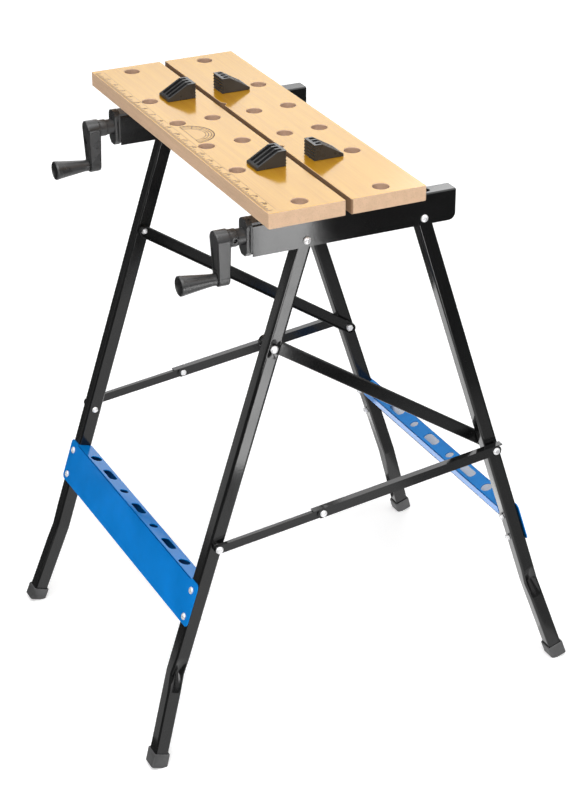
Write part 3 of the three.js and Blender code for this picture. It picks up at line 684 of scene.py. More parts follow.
def gloss_paint(name, colour, peel, specular, tint=(1.0, 1.0, 1.0)):
    finish = Finish(name)
    ripple = finish.group("Skin ripple", Scale=430.0, Patch_Scale=16.0)
    dust = finish.group("Specks", Scale=170.0, Size=0.05)
    tone = finish.mix(finish.span(ripple.outputs["Patch"], 0.0, 0.5), colour, shade(colour, 1.5))
    finish.link(
        finish.mix(
            dust.outputs["Speck"], tone, tuple(0.75 * c + 0.05 * t for c, t in zip(colour, tint))
        ),
        "Base Color",
    )
    finish.link(finish.span(ripple.outputs["Patch"], 0.09, 0.17), "Roughness")
    finish.set(Specular_IOR_Level=specular, Specular_Tint=(*tint, 1.0), IOR=1.5)
    finish.bump(ripple.outputs["Height"], peel, 0.5)
    return finish.material


def moulded(name, colour, rough, depth):
    finish = Finish(name)
    skin = finish.group("Skin ripple", Scale=2600.0, Patch_Scale=35.0)
    finish.link(
        finish.mix(finish.span(skin.outputs["Patch"], 0.0, 1.0), shade(colour, 0.8), shade(colour, 1.5)),
        "Base Color",
    )
    finish.link(finish.span(skin.outputs["Patch"], rough - 0.1, rough + 0.1), "Roughness")
    finish.set(Specular_IOR_Level=0.5)
    finish.bump(skin.outputs["Height"], depth, 0.6)
    return finish.material


def zinc_plate(hardware):
    finish = Finish("zinc_plate")
    ripple = finish.group("Skin ripple", Scale=1500.0, Patch_Scale=120.0)
    finish.link(
        finish.mix(
            finish.span(ripple.outputs["Patch"], 0.0, 1.0), hardware.zinc, shade(hardware.zinc, 0.8)
        ),
        "Base Color",
    )
    finish.link(finish.span(ripple.outputs["Patch"], 0.2, 0.36), "Roughness")
    finish.set(Metallic=0.3)
    finish.bump(ripple.outputs["Height"], 0.00002, 0.5)
    return finish.material


def get_finish(name):
    """A finish by name, made when it is first asked for."""
    made = bpy.data.materials.get(name)
    if made:
        return made
    scene = bpy.context.scene
    wood, paint = scene.bench_wood, scene.bench_paint
    plastic, hardware = scene.bench_plastic, scene.bench_hardware
    makers = {
        "varnished_board": lambda: varnished_board(wood),
        "board_edge": lambda: sawn_edge(wood, "board_edge", wood.edge),
        "hole_wall": lambda: sawn_edge(wood, "hole_wall", wood.hole),
        "gripping_edge_painted_shade": lambda: sawn_edge(wood, "gripping_edge_painted_shade", wood.grip),
        "printed_scale": lambda: printed_ink(wood),
        "gloss_black": lambda: gloss_paint("gloss_black", paint.black, 0.00006, 0.5),
        "gloss_blue": lambda: gloss_paint("gloss_blue", paint.blue, 0.00003, 0.14, (0.0, 0.5, 1.0)),
        # A darker blue for the faces inside the tray's folds: painted shade
        "blue_painted_shade": lambda: gloss_paint("blue_painted_shade", shade(paint.blue, 0.3), 0.00004, 0.2),
        "moulded_plastic": lambda: moulded("moulded_plastic", plastic.plastic, 0.30, 0.00001),
        "cap_rubber": lambda: moulded("cap_rubber", plastic.rubber, 0.55, 0.00002),
        "zinc_plate": lambda: zinc_plate(hardware),
    }
    return makers[name]()


# Worktop


def hole_centres(row):
    """The dog holes of a jaw, from the frame's openings and the dogs' own joints."""
    at = []
    for name, (low, high) in OPENINGS.items():
        if name.startswith(f"dog_hole_{row}"):
            at.append(((low[0] + high[0]) / 2 / MM, (low[1] + high[1]) / 2 / MM))
    for name, place in JOINT_AT.items():
        if name.startswith(f"dog_swivel_{row}"):
            at.append((place[0] / MM, place[1] / MM))
    return at


def jaw_board(row, wood):
    """A board with its dog holes and, on the rear jaw, two grooves in the gripping edge."""
    low, high = [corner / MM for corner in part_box(f"jaw_{row}")]
    outline = [(low.x, low.y), (low.x, high.y), (high.x, high.y), (high.x, low.y)]
    if row == "rear":
        for x in (86.0, -86.0):
            outline += [(x + 6.5, low.y), (x, low.y + 5), (x - 6.5, low.y)]
    bm = push(outline, low.z, high.z, rounds=[(2.0, range(4))])
    soften(bm, millimetres(wood.edge_round), 3, sharper=60)
    rim = millimetres(wood.hole_rim)
    radius = 10.0
    centres = hole_centres(row)
    profile = [
        (0, low.z - 1), (radius + rim + 1, low.z - 1), (radius, low.z + rim),
        (radius, high.z - rim), (radius + rim + 1, high.z + 1), (0, high.z + 1),
    ]
    carve(bm, gather(*(turned(profile, (x, y, 0), facets=48) for x, y in centres)))
    bm.normal_update()
    for face in bm.faces:
        centre = face.calc_center_median()
        in_hole = any(math.hypot(centre.x - x, centre.y - y) < radius + 0.1 for x, y in centres)
        in_gap = centre.y < low.y + 5 if row == "rear" else centre.y > high.y - 0.5
        if face.normal.z > 0.93:
            face.material_index = 0
        elif in_hole and abs(face.normal.z) < 0.5:
            face.material_index = 2
        # The edges facing the gap between the jaws take a dark brown: painted shade
        elif in_gap and abs(face.normal.z) < 0.5:
            face.material_index = 3
        else:
            face.material_index = 1
    return bm


def stroke(bm, start, end, width, level):
    """One printed line."""
    a, b = Vector(start), Vector(end)
    turn = Matrix.Rotation(math.atan2(b.y - a.y, b.x - a.x), 4, "Z")
    size = Matrix.Diagonal(((b - a).length, width, 0.05, 1))
    middle = Matrix.Translation((*((a + b) / 2), level))
    bmesh.ops.create_cube(bm, size=1, matrix=middle @ turn @ size)


def numeral(text, height, x, y, level):
    """A printed number as a thin solid, with its lower left corner at (x, y)."""
    curve = bpy.data.curves.new("numeral", "FONT")
    curve.body = text
    curve.size = height
    curve.extrude = 0.025
    curve.offset = 0.2
    curve.resolution_u = 3
    holder = bpy.data.objects.new("numeral", curve)
    bpy.context.scene.collection.objects.link(holder)
    bpy.context.view_layer.update()
    mesh = holder.evaluated_get(bpy.context.evaluated_depsgraph_get()).to_mesh()
    bm = bmesh.new()
    bm.from_mesh(mesh)
    bpy.data.objects.remove(holder)
    bpy.data.curves.remove(curve)
    bmesh.ops.translate(bm, vec=(x, y, level), verts=bm.verts[:])
    return bm


def half_ring(radius, width, x, y, level):
    """Half a printed circle, open towards the front edge."""
    bm = bmesh.new()
    inner, outer = radius - width / 2, radius + width / 2
    section = [(inner, -0.025), (outer, -0.025), (outer, 0.025), (inner, 0.025)]
    corners = [bm.verts.new((r, 0, z)) for r, z in section]
    face = bm.faces.new(corners)
    bmesh.ops.spin(
        bm, geom=[face], cent=(0, 0, 0), axis=(0, 0, 1), angle=math.pi, steps=40, use_merge=False
    )
    bmesh.ops.translate(bm, vec=(x, y, level), verts=bm.verts[:])
    return bm


def printed_scale(wood):
    """An inch scale along the front edge and a protractor behind it."""
    low, high = [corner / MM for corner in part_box("jaw_front")]
    level = high.z + 0.01
    width = millimetres(wood.stroke)
    inch = 25.4
    front, back = low.y + 2.2, low.y + 14.0
    start = -10.5 * inch
    lines = bmesh.new()
    stroke(lines, (start, back), (-start, back), width * 0.4, level)
    stroke(lines, (start, front), (-start, front), width * 0.6, level)
    reach = {0: 8.0, 4: 6.0, 2: 4.4, 6: 4.4}
    for step in range(21 * 8 + 1):
        x = start + step * inch / 8
        stroke(lines, (x, front), (x, front + reach.get(step % 8, 3.0)), width * 1.6, level)
    shapes = [lines]
    for count in range(1, 21):
        shapes.append(numeral(str(count), 6.2, start + count * inch + 1.0, front + 6.0, level))
    centre_y = low.y + 22.0
    for radius, weight in ((31.0, 1.8), (27.5, 1.0), (24.0, 1.0), (20.5, 1.0)):
        shapes.append(half_ring(radius, width * weight, 0, centre_y, level))
    rays = bmesh.new()
    for step in range(0, 181, 10):
        angle = math.radians(step)
        inner = 20.5 if step % 30 == 0 else 27.5
        ends = [(r * math.cos(angle), centre_y + r * math.sin(angle)) for r in (inner, 31.0)]
        stroke(rays, *ends, width, level)
    stroke(rays, (-31, centre_y), (31, centre_y), width * 0.8, level)
    return gather(*shapes, rays)


class WORKBENCH_OT_jaws(bpy.types.Operator):
    """Build the two jaw boards and the printed scale"""

    bl_idname = "workbench.jaws"
    bl_label = "Jaws"

    def execute(self, context):
        wood = context.scene.bench_wood
        names = ("varnished_board", "board_edge", "hole_wall", "gripping_edge_painted_shade")
        finishes = [get_finish(name) for name in names]
        for row in ("front", "rear"):
            finish_piece(f"jaw_{row}_finish", jaw_board(row, wood), finishes, [f"jaw_{row}"])
        finish_piece(
            "printed_scale", printed_scale(wood), [get_finish("printed_scale")], [], "top"
        )
        return {"FINISHED"}


# Bench dogs


def dog_shape(plastic):
    """A ribbed ramp with a toothed face on a round peg. Y runs back from the gripping face."""
    height, length, half = 20.0, 39.5, 29.5 / 2
    pitch = height / 5
    outline = []
    for tooth in range(4, -1, -1):
        outline.append((0, (tooth + 1) * pitch))
        outline.append((1.2, (tooth + 0.35) * pitch))
    outline += [(0, 0), (length, 0), (length, 3.5), (11, height)]
    bm = push(outline, -half, half, "x")
    rib = 3.2
    bay = (2 * half - 4 * rib) / 3
    deep = ((4.4, 6.5), (length - rib, 3), (length - rib, height + 1), (4.4, height + 1))
    tools = []
    for count in range(3):
        x0 = -half + rib + count * (bay + rib)
        tools.append(push(deep, x0, x0 + bay, "x"))
    carve(bm, gather(*tools))
    soften(bm, millimetres(plastic.mould_round) * 0.6, 2, sharper=30)
    peg = turned([(0, -16.3), (8.7, -16.3), (9.7, -15.3), (9.7, 1.5), (0, 1.5)], (0, 10.5, 0))
    carve(bm, peg, "UNION")
    return bm


class WORKBENCH_OT_dogs(bpy.types.Operator):
    """Build the four bench dogs"""

    bl_idname = "workbench.dogs"
    bl_label = "Bench dogs"

    def execute(self, context):
        shape = dog_shape(context.scene.bench_plastic)
        for row, side in (("front", -1), ("rear", 1)):
            for end in ("left", "right"):
                x, y, z = (value / MM for value in JOINT_AT[f"dog_swivel_{row}_{end}"])
                place = Matrix.Translation((x, y - side * 10.5, z + CLEAR))
                turn = Matrix.Rotation(math.pi if side < 0 else 0, 4, "Z")
                name = f"dog_{row}_{end}"
                finish_piece(
                    f"{name}_finish", copy_of(shape, place @ turn), [get_finish("moulded_plastic")],
                    [name],
                )
        shape.free()
        return {"FINISHED"}


# Clamp


def channel_shape(paint):
    """A folded inverted U with a slot on top and a rounded lower rear corner."""
    low, high = [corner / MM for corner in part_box("channel_right")]
    bm = block(low.x, high.x, low.y, high.y, low.z, high.z)
    bm.normal_update()
    spare = [f for f in bm.faces if f.normal.z < -0.5 or abs(f.normal.y) > 0.5]
    bmesh.ops.delete(bm, geom=spare, context="FACES")
    folds = [
        e for e in bm.edges
        if len(e.link_faces) == 2 and all(abs(v.co.z - high.z) < 1e-3 for v in e.verts)
    ]
    bevel(bm, folds, millimetres(paint.sheet_round), 5)
    tail = [v for v in bm.verts if v.co.y > high.y - 1e-3 and v.co.z < low.z + 1e-3]
    round_corners(bm, tail, 9.0, 8)
    thicken(bm, 1.2, (0, 0, 1))
    slot = strap((CHANNEL_X, -27.0), (CHANNEL_X, 82.0), 5.5, 5.5, high.z - 3, high.z + 1, "z")
    holes = [rod(BOLT_HOLE, low.x - 1, high.x + 1, p.x, p.y) for p in (PIVOT_FRONT, PIVOT_REAR)]
    carve(bm, gather(slot, *holes))
    return bm


def end_bush_shape(plastic):
    """A grooved flange with a plug in the channel and a hook over it."""
    low, high = [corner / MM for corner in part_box("end_bush_right")]
    x0, x1 = low.x, high.x
    flange = push(
        (
            (x0, low.z + 6), (x0 + 6, low.z), (x1 - 6, low.z),
            (x1, low.z + 6), (x1, high.z), (x0, high.z),
        ),
        low.y, low.y + 7.7, "y", rounds=[(8.0, (4, 5))],
    )
    plug = block(x0 + 1.5, x1 - 1.5, low.y + 6.7, high.y, low.z + 3, high.z - 8)
    hook = block(x0, x1, low.y + 6.7, low.y + 20, high.z - 6.2, high.z - 3)
    for part in (plug, hook):
        carve(flange, part, "UNION")
    recess = rod(10.6, low.y - 1, low.y + 5, CHANNEL_X, SCREW_Z, "y", 40)
    groove = block(x0 - 2, x1 + 2, low.y + 3.2, low.y + 5.2, low.z + 4, high.z - 8)
    carve(groove, block(x0 + 1.6, x1 - 1.6, low.y + 2, low.y + 6, low.z, high.z))
    for tool in (recess, groove):
        carve(flange, tool)
    soften(flange, millimetres(plastic.mould_round), 2, sharper=40)
    carve(flange, rod(4.3, low.y - 1, high.y + 1, CHANNEL_X, SCREW_Z, "y"))
    return flange


def seat_shape(node_name, plastic, pocket=None):
    """A moulded block between a channel and a jaw."""
    low, high = [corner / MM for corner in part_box(node_name)]
    outline = ((low.x, low.y), (high.x, low.y), (high.x, high.y), (low.x, high.y))
    bm = push(outline, low.z, high.z, rounds=[(4.0, range(4))])
    soften(bm, millimetres(plastic.mould_round), 2, sharper=60)
    if pocket:
        carve(bm, pocket)
    return bm


def nut_shape():
    """A nut on the clamp screw with a post that comes up through the slot."""
    low, high = [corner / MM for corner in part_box("jaw_nut_right")]
    middle = (low.y + high.y) / 2
    bm = block(low.x, high.x, low.y, high.y, SCREW_Z - 6, SCREW_Z + 6)
    post = block(CHANNEL_X - 5, CHANNEL_X + 5, middle - 9, middle + 9, SCREW_Z, high.z)
    carve(bm, post, "UNION")
    soften(bm, 0.5, 2, sharper=60)
    carve(bm, rod(4.3, low.y - 1, high.y + 1, CHANNEL_X, SCREW_Z, "y"))
    return bm


def screw_shape(hardware):
    """A plain shank in the crank and bush, a collar and a threaded length."""
    low, high = [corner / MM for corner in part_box("clamp_screw_right")]
    collar = -127.2
    core = turned(
        [
            (0, low.y), (3.4, low.y), (4.0, low.y + 0.6), (4.0, collar), (6.6, collar),
            (7.0, collar + 0.4), (7.0, collar + 3.6), (6.6, collar + 4), (3.3, collar + 4),
            (3.3, high.y - 1), (2.6, high.y), (0, high.y),
        ],
        (CHANNEL_X, 0, SCREW_Z), (0, 1, 0),
    )
    pitch = millimetres(hardware.thread_pitch)
    start = collar + 5
    turns = int((high.y - 3 - start) / pitch)
    steps = 20
    ridge = bmesh.new()
    section = [(3.2, 0.0), (4.0, pitch * 0.28), (4.0, pitch * 0.5), (3.2, pitch * 0.78)]
    corners = [ridge.verts.new((CHANNEL_X + r, start + h, SCREW_Z)) for r, h in section]
    face = ridge.faces.new(corners)
    bmesh.ops.spin(
        ridge, geom=[face], cent=(CHANNEL_X, 0, SCREW_Z), axis=(0, 1, 0),
        dvec=(0, pitch / steps, 0), angle=2 * math.pi * turns, steps=steps * turns, use_merge=False,
    )
    bmesh.ops.recalc_face_normals(ridge, faces=ridge.faces[:])
    return gather(core, ridge)


class WORKBENCH_OT_clamp(bpy.types.Operator):
    """Build the channels, end bushes, jaw supports and clamp screws"""

    bl_idname = "workbench.clamp"
    bl_label = "Clamp"

    def execute(self, context):
        scene = context.scene
        plastic = get_finish("moulded_plastic")
        zinc = get_finish("zinc_plate")
        finish_pair("channel", channel_shape(scene.bench_paint), [get_finish("gloss_black")])
        finish_pair("end_bush", end_bush_shape(scene.bench_plastic), [plastic])
        block_shape = seat_shape("jaw_block_right", scene.bench_plastic)
        finish_pair("jaw_block", block_shape, [plastic])
        low, high = [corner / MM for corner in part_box("jaw_pad_right")]
        middle = (low.y + high.y) / 2
        x0, x1 = CHANNEL_X - 5.3, CHANNEL_X + 5.3
        pocket = block(x0, x1, middle - 9.3, middle + 9.3, low.z - 1, high.z - 1.9)
        finish_pair("jaw_pad", seat_shape("jaw_pad_right", scene.bench_plastic, pocket), [plastic])
        finish_pair("jaw_nut", nut_shape(), [zinc])
        finish_pair("clamp_screw", screw_shape(scene.bench_hardware), [zinc])
        return {"FINISHED"}


# Cranks


def crank_shape():
    """Arm, sleeve and grip spigot in one moulding."""
    end, base = (corner.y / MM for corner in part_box("grip_right"))
    front = base + CLEAR
    back, tip = front + 15.5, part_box("crank_right")[1].y / MM
    hub, boss = (CHANNEL_X, SCREW_Z), (CHANNEL_X, GRIP_Z)
    arm = strap(hub, boss, HUB, BOSS, front, back, "y", 48)
    soften(arm, 2.0, 4, sharper=50)
    # A shallow web between the two bosses, on the front face
    web = strap((CHANNEL_X, SCREW_Z - 4), boss, HUB - 3.2, BOSS - 2.8, front - 1, front + 1.5, "y", 40)
    for centre, radius in ((hub, HUB - 1.6), (boss, BOSS + 1.2)):
        carve(web, rod(radius, front - 2, front + 3, *centre, "y", 48))
    soften(web, 0.5, 2, sharper=50)
    carve(arm, web)
    seam = block(CHANNEL_X - 20, CHANNEL_X + 20, front + 2.5, back + 1, GRIP_Z + 2.2, GRIP_Z + 2.9)
    carve(seam, strap(hub, boss, HUB - 0.5, BOSS - 0.5, front, back + 2, "y", 48))
    carve(arm, seam)
    # The hub stands forward of the grip's boss, so the front face leans
    for v in arm.verts:
        if v.co.y < front + 5:
            v.co.y -= HUB_LEAN * max(0.0, v.co.z - GRIP_Z - BOSS) / (SCREW_Z - GRIP_Z)
    sleeve = turned(
        [
            (0, back - 4), (11.9, back - 4), (11.9, back), (11.4, back + 0.6), (11.0, back + 0.8),
            (11.0, back + 9.2), (10.8, back + 9.8), (10.2, back + 10.4), (10.0, back + 11),
            (10.0, tip - 0.6), (9.4, tip), (0, tip),
        ],
        (CHANNEL_X, 0, SCREW_Z), (0, 1, 0), 40,
    )
    carve(arm, sleeve, "UNION")
    # A grub screw in a raised ring holds the sleeve on the clamp screw
    seat = (CHANNEL_X, back + 5.4, SCREW_Z)
    carve(arm, rod(2.6, CHANNEL_X + 6, CHANNEL_X + 14, seat[1], seat[2], "x", 28))
    ring = turned(
        [(2.6, 8), (4.4, 8), (4.4, 11.0), (4.0, 11.7), (3.0, 11.7), (2.6, 11.2)], seat, (1, 0, 0), 28
    )
    grub = turned([(0, 6), (2.5, 6), (2.5, 8.6), (2.2, 8.9), (0, 8.9)], seat, (1, 0, 0), 24)
    slot = block(CHANNEL_X + 8, CHANNEL_X + 10, seat[1] - 3, seat[1] + 3, SCREW_Z - 0.45, SCREW_Z + 0.45)
    carve(grub, slot)
    floor = end + GRIP_CUP
    spigot = turned(
        [
            (0, floor - 2.3), (5.4, floor - 2.3), (6.0, floor - 1.7), (6.0, floor - CLEAR),
            (3.6, floor - CLEAR), (3.6, front + 2), (0, front + 2),
        ],
        (CHANNEL_X, 0, GRIP_Z), (0, 1, 0), 24,
    )
    carve(arm, spigot, "UNION")
    carve(arm, rod(4.3, front + 15.5 / 3, tip + 1, CHANNEL_X, SCREW_Z, "y"))
    return gather(arm, ring, grub)


def grip_shape():
    """A flared grip with a hollow end that spins on the spigot."""
    end, base = (corner.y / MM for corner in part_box("grip_right"))
    floor = end + GRIP_CUP
    length = base - end
    profile = [(3.9, base), (3.9, floor), (8.2, floor), (8.6, floor - 0.4), (10.0, end + 1.2)]
    profile += [(10.3, end + 0.3), (10.9, end), (11.6, end + 0.1), (12.2, end + 0.6), (12.4, end + 1.4)]
    profile += [(12.4, end + 3.4), (12.2, end + 4.2)]
    start, stop = end + 4.6, base - 6
    for step in range(9):
        share = step / 8
        profile.append((7.6 + 4.5 * (1 - share) ** 1.08, start + (stop - start) * share))
    profile += [(7.6, base - 0.6), (7.0, base)]
    return turned(profile, (CHANNEL_X, 0, GRIP_Z), (0, 1, 0), 48)


class WORKBENCH_OT_cranks(bpy.types.Operator):
    """Build the cranks and their grips"""

    bl_idname = "workbench.cranks"
    bl_label = "Cranks"

    def execute(self, context):
        plastic = get_finish("moulded_plastic")
        finish_pair("crank", crank_shape(), [plastic])
        finish_pair("grip", grip_shape(), [plastic])
        return {"FINISHED"}


# Legs


def square_ring(half, corner, level, segments=4):
    """A flat square with rounded corners."""
    bm = bmesh.new()
    corners = [bm.verts.new((a * half, b * half, level)) for a, b in ((1, 1), (-1, 1), (-1, -1), (1, -1))]
    bm.faces.new(corners)
    round_corners(bm, corners, corner, segments)
    return bm


def leg_shape(leg, bolts, dents):
    """Square tube with pressed dents in the outer wall, bent outwards near the floor.

    A dent is (middle, length, depth, pinch), measured down the leg. Pinch is the share of the
    depth that the tube's corners take: a pinched dent has a crease, and the tube bulges beside it.
    """
    half = LEG / 2
    end = leg.cap_end - CAP_FLOOR - CLEAR
    bm = square_ring(half, LEG_ROUND, -half - 2)
    wall = [
        e for e in bm.edges
        if e.calc_length() > half and all(v.co.x > half - 1e-3 for v in e.verts)
    ]
    bmesh.ops.subdivide_edges(bm, edges=wall, cuts=9)
    bmesh.ops.delete(bm, geom=bm.faces[:], context="FACES_ONLY")
    stations = {end, leg.kink}
    for middle, length, depth, pinch in dents:
        stations.update(middle + length * (step / 24 - 0.5) for step in range(25))
    rim = bm.edges[:]
    last = -half - 2
    for station in sorted(stations):
        made = bmesh.ops.extrude_edge_only(bm, edges=rim)
        fresh = [g for g in made["geom"] if isinstance(g, bmesh.types.BMVert)]
        bmesh.ops.translate(bm, vec=(0, 0, station - last), verts=fresh)
        last = station
        new = set(fresh)
        rim = [e for e in bm.edges if new.issuperset(e.verts)]
    thicken(bm, LEG_WALL, (1, 0, 0))
    round_end = strap((0, 0), (0, end * 2), half, half * 2, -half * 2, half * 2, "x", 48)
    carve(bm, round_end, "INTERSECT")
    tools = [rod(BOLT_HOLE, -half - 3, half + 3, 0, s) for s in bolts]
    for s in TRAY_BOLTS:
        tools.append(rod(2.8, -half - 3, half + 3, 0, TRAY_AT + s, "y"))
    carve(bm, gather(*tools))
    flat = half - LEG_ROUND
    for v in bm.verts:
        x, n, s = v.co
        for middle, length, depth, pinch in dents:
            far = abs(s - middle) / (length / 2)
            if x > 0 and far < 1:
                fall = (1 - far) ** 1.1 if pinch else math.cos(math.pi / 2 * far) ** 2
                v.co.x -= depth * fall * (1 - (1 - pinch) * min(1.0, abs(n) / flat) ** 2)
                v.co.y += 2.0 * pinch * fall * n / half
        v.co.x += leg.splay * max(0.0, s - leg.kink)
    return move(bm, leg.matrix())


def foot_shape(leg):
    """A square-cut cap with a level strip along its inner edge."""
    start = leg.cap_end - CAP_HEIGHT
    bm = square_ring(CAP / 2, 3.0, start, 5)
    made = bmesh.ops.extrude_face_region(bm, geom=bm.faces[:])
    lowered = [g for g in made["geom"] if isinstance(g, bmesh.types.BMVert)]
    bmesh.ops.translate(bm, vec=(0, 0, CAP_HEIGHT), verts=lowered)
    bmesh.ops.recalc_face_normals(bm, faces=bm.faces[:])
    level = Vector((0, leg.out.y, leg.down.y))
    ground = Vector((0, 0, -leg.pivot.y / leg.down.y))
    geometry = bm.verts[:] + bm.edges[:] + bm.faces[:]
    bmesh.ops.bisect_plane(bm, geom=geometry, dist=1e-4, plane_co=ground, plane_no=level, clear_inner=True)
    bmesh.ops.holes_fill(bm, edges=[e for e in bm.edges if e.is_boundary])
    soften(bm, 0.9, 3, sharper=40)
    half = LEG / 2 + CLEAR
    socket = block(-half, half, -half, half, start - 1, leg.cap_end - CAP_FLOOR)
    carve(bm, socket)
    mouth = [
        e for e in bm.edges
        if all(abs(v.co.z - start) < 1e-3 and max(abs(v.co.x), abs(v.co.y)) < half + 0.01 for v in e.verts)
    ]
    bevel(bm, mouth, 0.5, 1)
    for v in bm.verts:
        v.co.x += leg.splay * max(0.0, v.co.z - leg.kink)
    return move(bm, leg.matrix())


class WORKBENCH_OT_legs(bpy.types.Operator):
    """Build the legs and their feet"""

    bl_idname = "workbench.legs"
    bl_label = "Legs"

    def execute(self, context):
        black, rubber = get_finish("gloss_black"), get_finish("cap_rubber")
        dimple = (BAR_AT, 30.0, 2.6, 0.0)
        crimps = {row: (leg.kink, 50.0, 7.5, 0.3) for row, leg in (("front", FRONT), ("rear", REAR))}
        shape = leg_shape(FRONT, (0.0, BAR_AT, BRACE_AT), [dimple, crimps["front"]])
        finish_pair("leg_front", shape, [black])
        shape = leg_shape(REAR, (0.0, REAR.along(BAR_REAR)), [crimps["rear"]])
        finish_pair("leg_rear", shape, [black])
        finish_pair("foot_front", foot_shape(FRONT), [rubber])
        finish_pair("foot_rear", foot_shape(REAR), [rubber])
        return {"FINISHED"}


# Bars and braces


def bar_shape():
    """A pressed strip, dished on its inner side."""
    low, high = [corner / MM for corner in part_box("bar_right")]
    bm = strap(BAR_FRONT, BAR_REAR, 8.0, 8.0, low.x, high.x, "x", 40)
    soften(bm, 1.5, 4, sharper=50, pick=lambda e: all(v.co.x > high.x - 1e-3 for v in e.verts))
    soften(bm, 0.4, 2, sharper=50, pick=lambda e: all(v.co.x < low.x + 1e-3 for v in e.verts))
    carve(bm, strap(BAR_FRONT, BAR_REAR, 6.5, 6.5, low.x - 1, high.x - 1.5, "x", 40))
    holes = [rod(BOLT_HOLE, low.x - 1, high.x + 1, p.x, p.y) for p in (BAR_FRONT, BAR_REAR)]
    return carve(bm, gather(*holes))


def brace_shape(node_name, start, end, radius, stop=0.0):
    """An inverted U between two bolts. With a stop, its web runs on past both ends."""
    low, high = [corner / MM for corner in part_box(node_name)]
    run = end - start
    along = run.normalized()
    length = run.length
    wall = 1.4
    bm = strap((0, 0), (length, 0), radius, radius, low.x, high.x, "z", 40)
    if stop:
        for a, b in ((-stop, radius), (length, length + radius + 2)):
            carve(bm, block(a, b, radius - wall, radius, low.x, high.x), "UNION")
    top = radius - 1e-3
    soften(bm, 1.1, 3, sharper=50, pick=lambda e: all(v.co.y > top for v in e.verts) and e.calc_length() > 20)
    past = 2 * radius
    hollow = block(-past, length + past, -past, radius - wall, low.x + wall, high.x - wall)
    holes = [rod(BOLT_HOLE, low.x - 1, high.x + 1, a, 0, "z") for a in (0.0, length)]
    carve(bm, hollow)
    carve(bm, gather(*holes))
    carve(bm, block(-past, length + past, -past, -5.9, low.x - 1, high.x + 1))
    place = Matrix(
        (
            (0, 0, 1, 0),
            (along.x, -along.y, 0, start.x),
            (along.y, along.x, 0, start.y),
            (0, 0, 0, 1),
        )
    )
    return move(bm, place)


class WORKBENCH_OT_links(bpy.types.Operator):
    """Build the bars and the folding braces"""

    bl_idname = "workbench.links"
    bl_label = "Bars and braces"

    def execute(self, context):
        black = [get_finish("gloss_black")]
        finish_pair("bar", bar_shape(), black)
        short = brace_shape("brace_short_right", BRACE_FRONT, KNEE, 5.7)
        finish_pair("brace_short", short, black)
        long = brace_shape("brace_long_right", KNEE, BAR_REAR, 7.5, stop=13.0)
        finish_pair("brace_long", long, black)
        return {"FINISHED"}


# Trays


def tray_shape(leg, paint):
    """One sheet folded square twice, into a plate on the legs, a holed shelf and a lip."""
    sheet = 1.2
    face = LEG / 2 + CLEAR + sheet
    back = -LEG / 2
    wide, narrow = 219.0, LEG_IN - 2 * CLEAR
    top, foot = TRAY_AT, TRAY_AT + 60.0
    bm = bmesh.new()
    outline = [(-wide, top), (-narrow, top), (narrow, top), (wide, top), (wide, foot), (-wide, foot)]
    corners = [bm.verts.new((x, face, s)) for x, s in outline]
    bm.faces.new(corners)
    fold = [bm.edges.get((corners[1], corners[2]))]
    folds = list(fold)
    for step in ((0, back - face, 0), (0, 0, 16.0)):
        made = bmesh.ops.extrude_edge_only(bm, edges=fold)
        fresh = [g for g in made["geom"] if isinstance(g, bmesh.types.BMVert)]
        bmesh.ops.translate(bm, vec=step, verts=fresh)
        fold = [e for e in bm.edges if all(v in fresh for v in e.verts)]
        folds += fold
    lip_corners = list(fold[0].verts)
    round_corners(bm, [corners[i] for i in (0, 3, 4, 5)], 6.0, 6)
    round_corners(bm, lip_corners, 5.0, 6)
    bevel(bm, [e for e in folds[:2] if e.is_valid], millimetres(paint.sheet_round), 5)
    thicken(bm, sheet, (0, 1, 0))
    middle = (face + back) / 2
    tools = []
    for count in range(-3, 4):
        x = count * TRAY_PITCH
        if count % 2 == 0:
            a, b = TRAY_SLOT / 2, TRAY_SMALL / 2
            outline = ((x - a, middle - b), (x + a, middle - b), (x + a, middle + b), (x - a, middle + b))
            tools.append(push(outline, top - 3, top + 4, rounds=[(TRAY_SMALL * 0.42, range(4))]))
        else:
            hole = TRAY_BIG if abs(count) == 3 else TRAY_SMALL
            tools.append(rod(hole / 2, top - 3, top + 4, x, middle, "z", 40))
    for x in (-CHANNEL_X, CHANNEL_X):
        for s in TRAY_BOLTS:
            tools.append(rod(2.8, 0, LEG, x, top + s, "y"))
    carve(bm, gather(*tools))
    bm.normal_update()
    core = Vector((0, middle, top + 20))
    for f in bm.faces:
        centre = f.calc_center_median()
        towards = core - centre
        towards.x = 0
        # Faces that look into the folds take the second finish, a darker blue of painted shade
        if abs(f.normal.x) < 0.5 and centre.z > top + 0.9 * sheet and towards.dot(f.normal) > 0:
            f.material_index = 1
    return move(bm, leg.matrix(0.0))


class WORKBENCH_OT_trays(bpy.types.Operator):
    """Build the two tool trays"""

    bl_idname = "workbench.trays"
    bl_label = "Tool trays"

    def execute(self, context):
        paint = context.scene.bench_paint
        for name, leg in (("tray_front", FRONT), ("tray_rear", REAR)):
            # The faces inside the folds get a darker blue: painted shade
            coats = [get_finish("gloss_blue"), get_finish("blue_painted_shade")]
            finish_piece(f"{name}_finish", tray_shape(leg, paint), coats, [name])
        return {"FINISHED"}


# Fasteners


def dome(at, radius=4.9, height=3.0):
    """The profile of a pan head that stands on a surface."""
    steps = ((1.0, 0.0), (1.0, 0.3), (0.96, 0.48), (0.84, 0.7), (0.62, 0.88), (0.34, 0.97), (0.0, 1.0))
    return [(radius * r, at + height * h) for r, h in steps]


def riveted(at, radius=4.2, height=2.2):
    """The profile of a riveted tail, from its tip."""
    steps = ((0.0, 1.0), (0.4, 0.97), (0.72, 0.82), (0.94, 0.5), (1.0, 0.2), (1.0, 0.0))
    return [(radius * r, at - height * h) for r, h in steps]


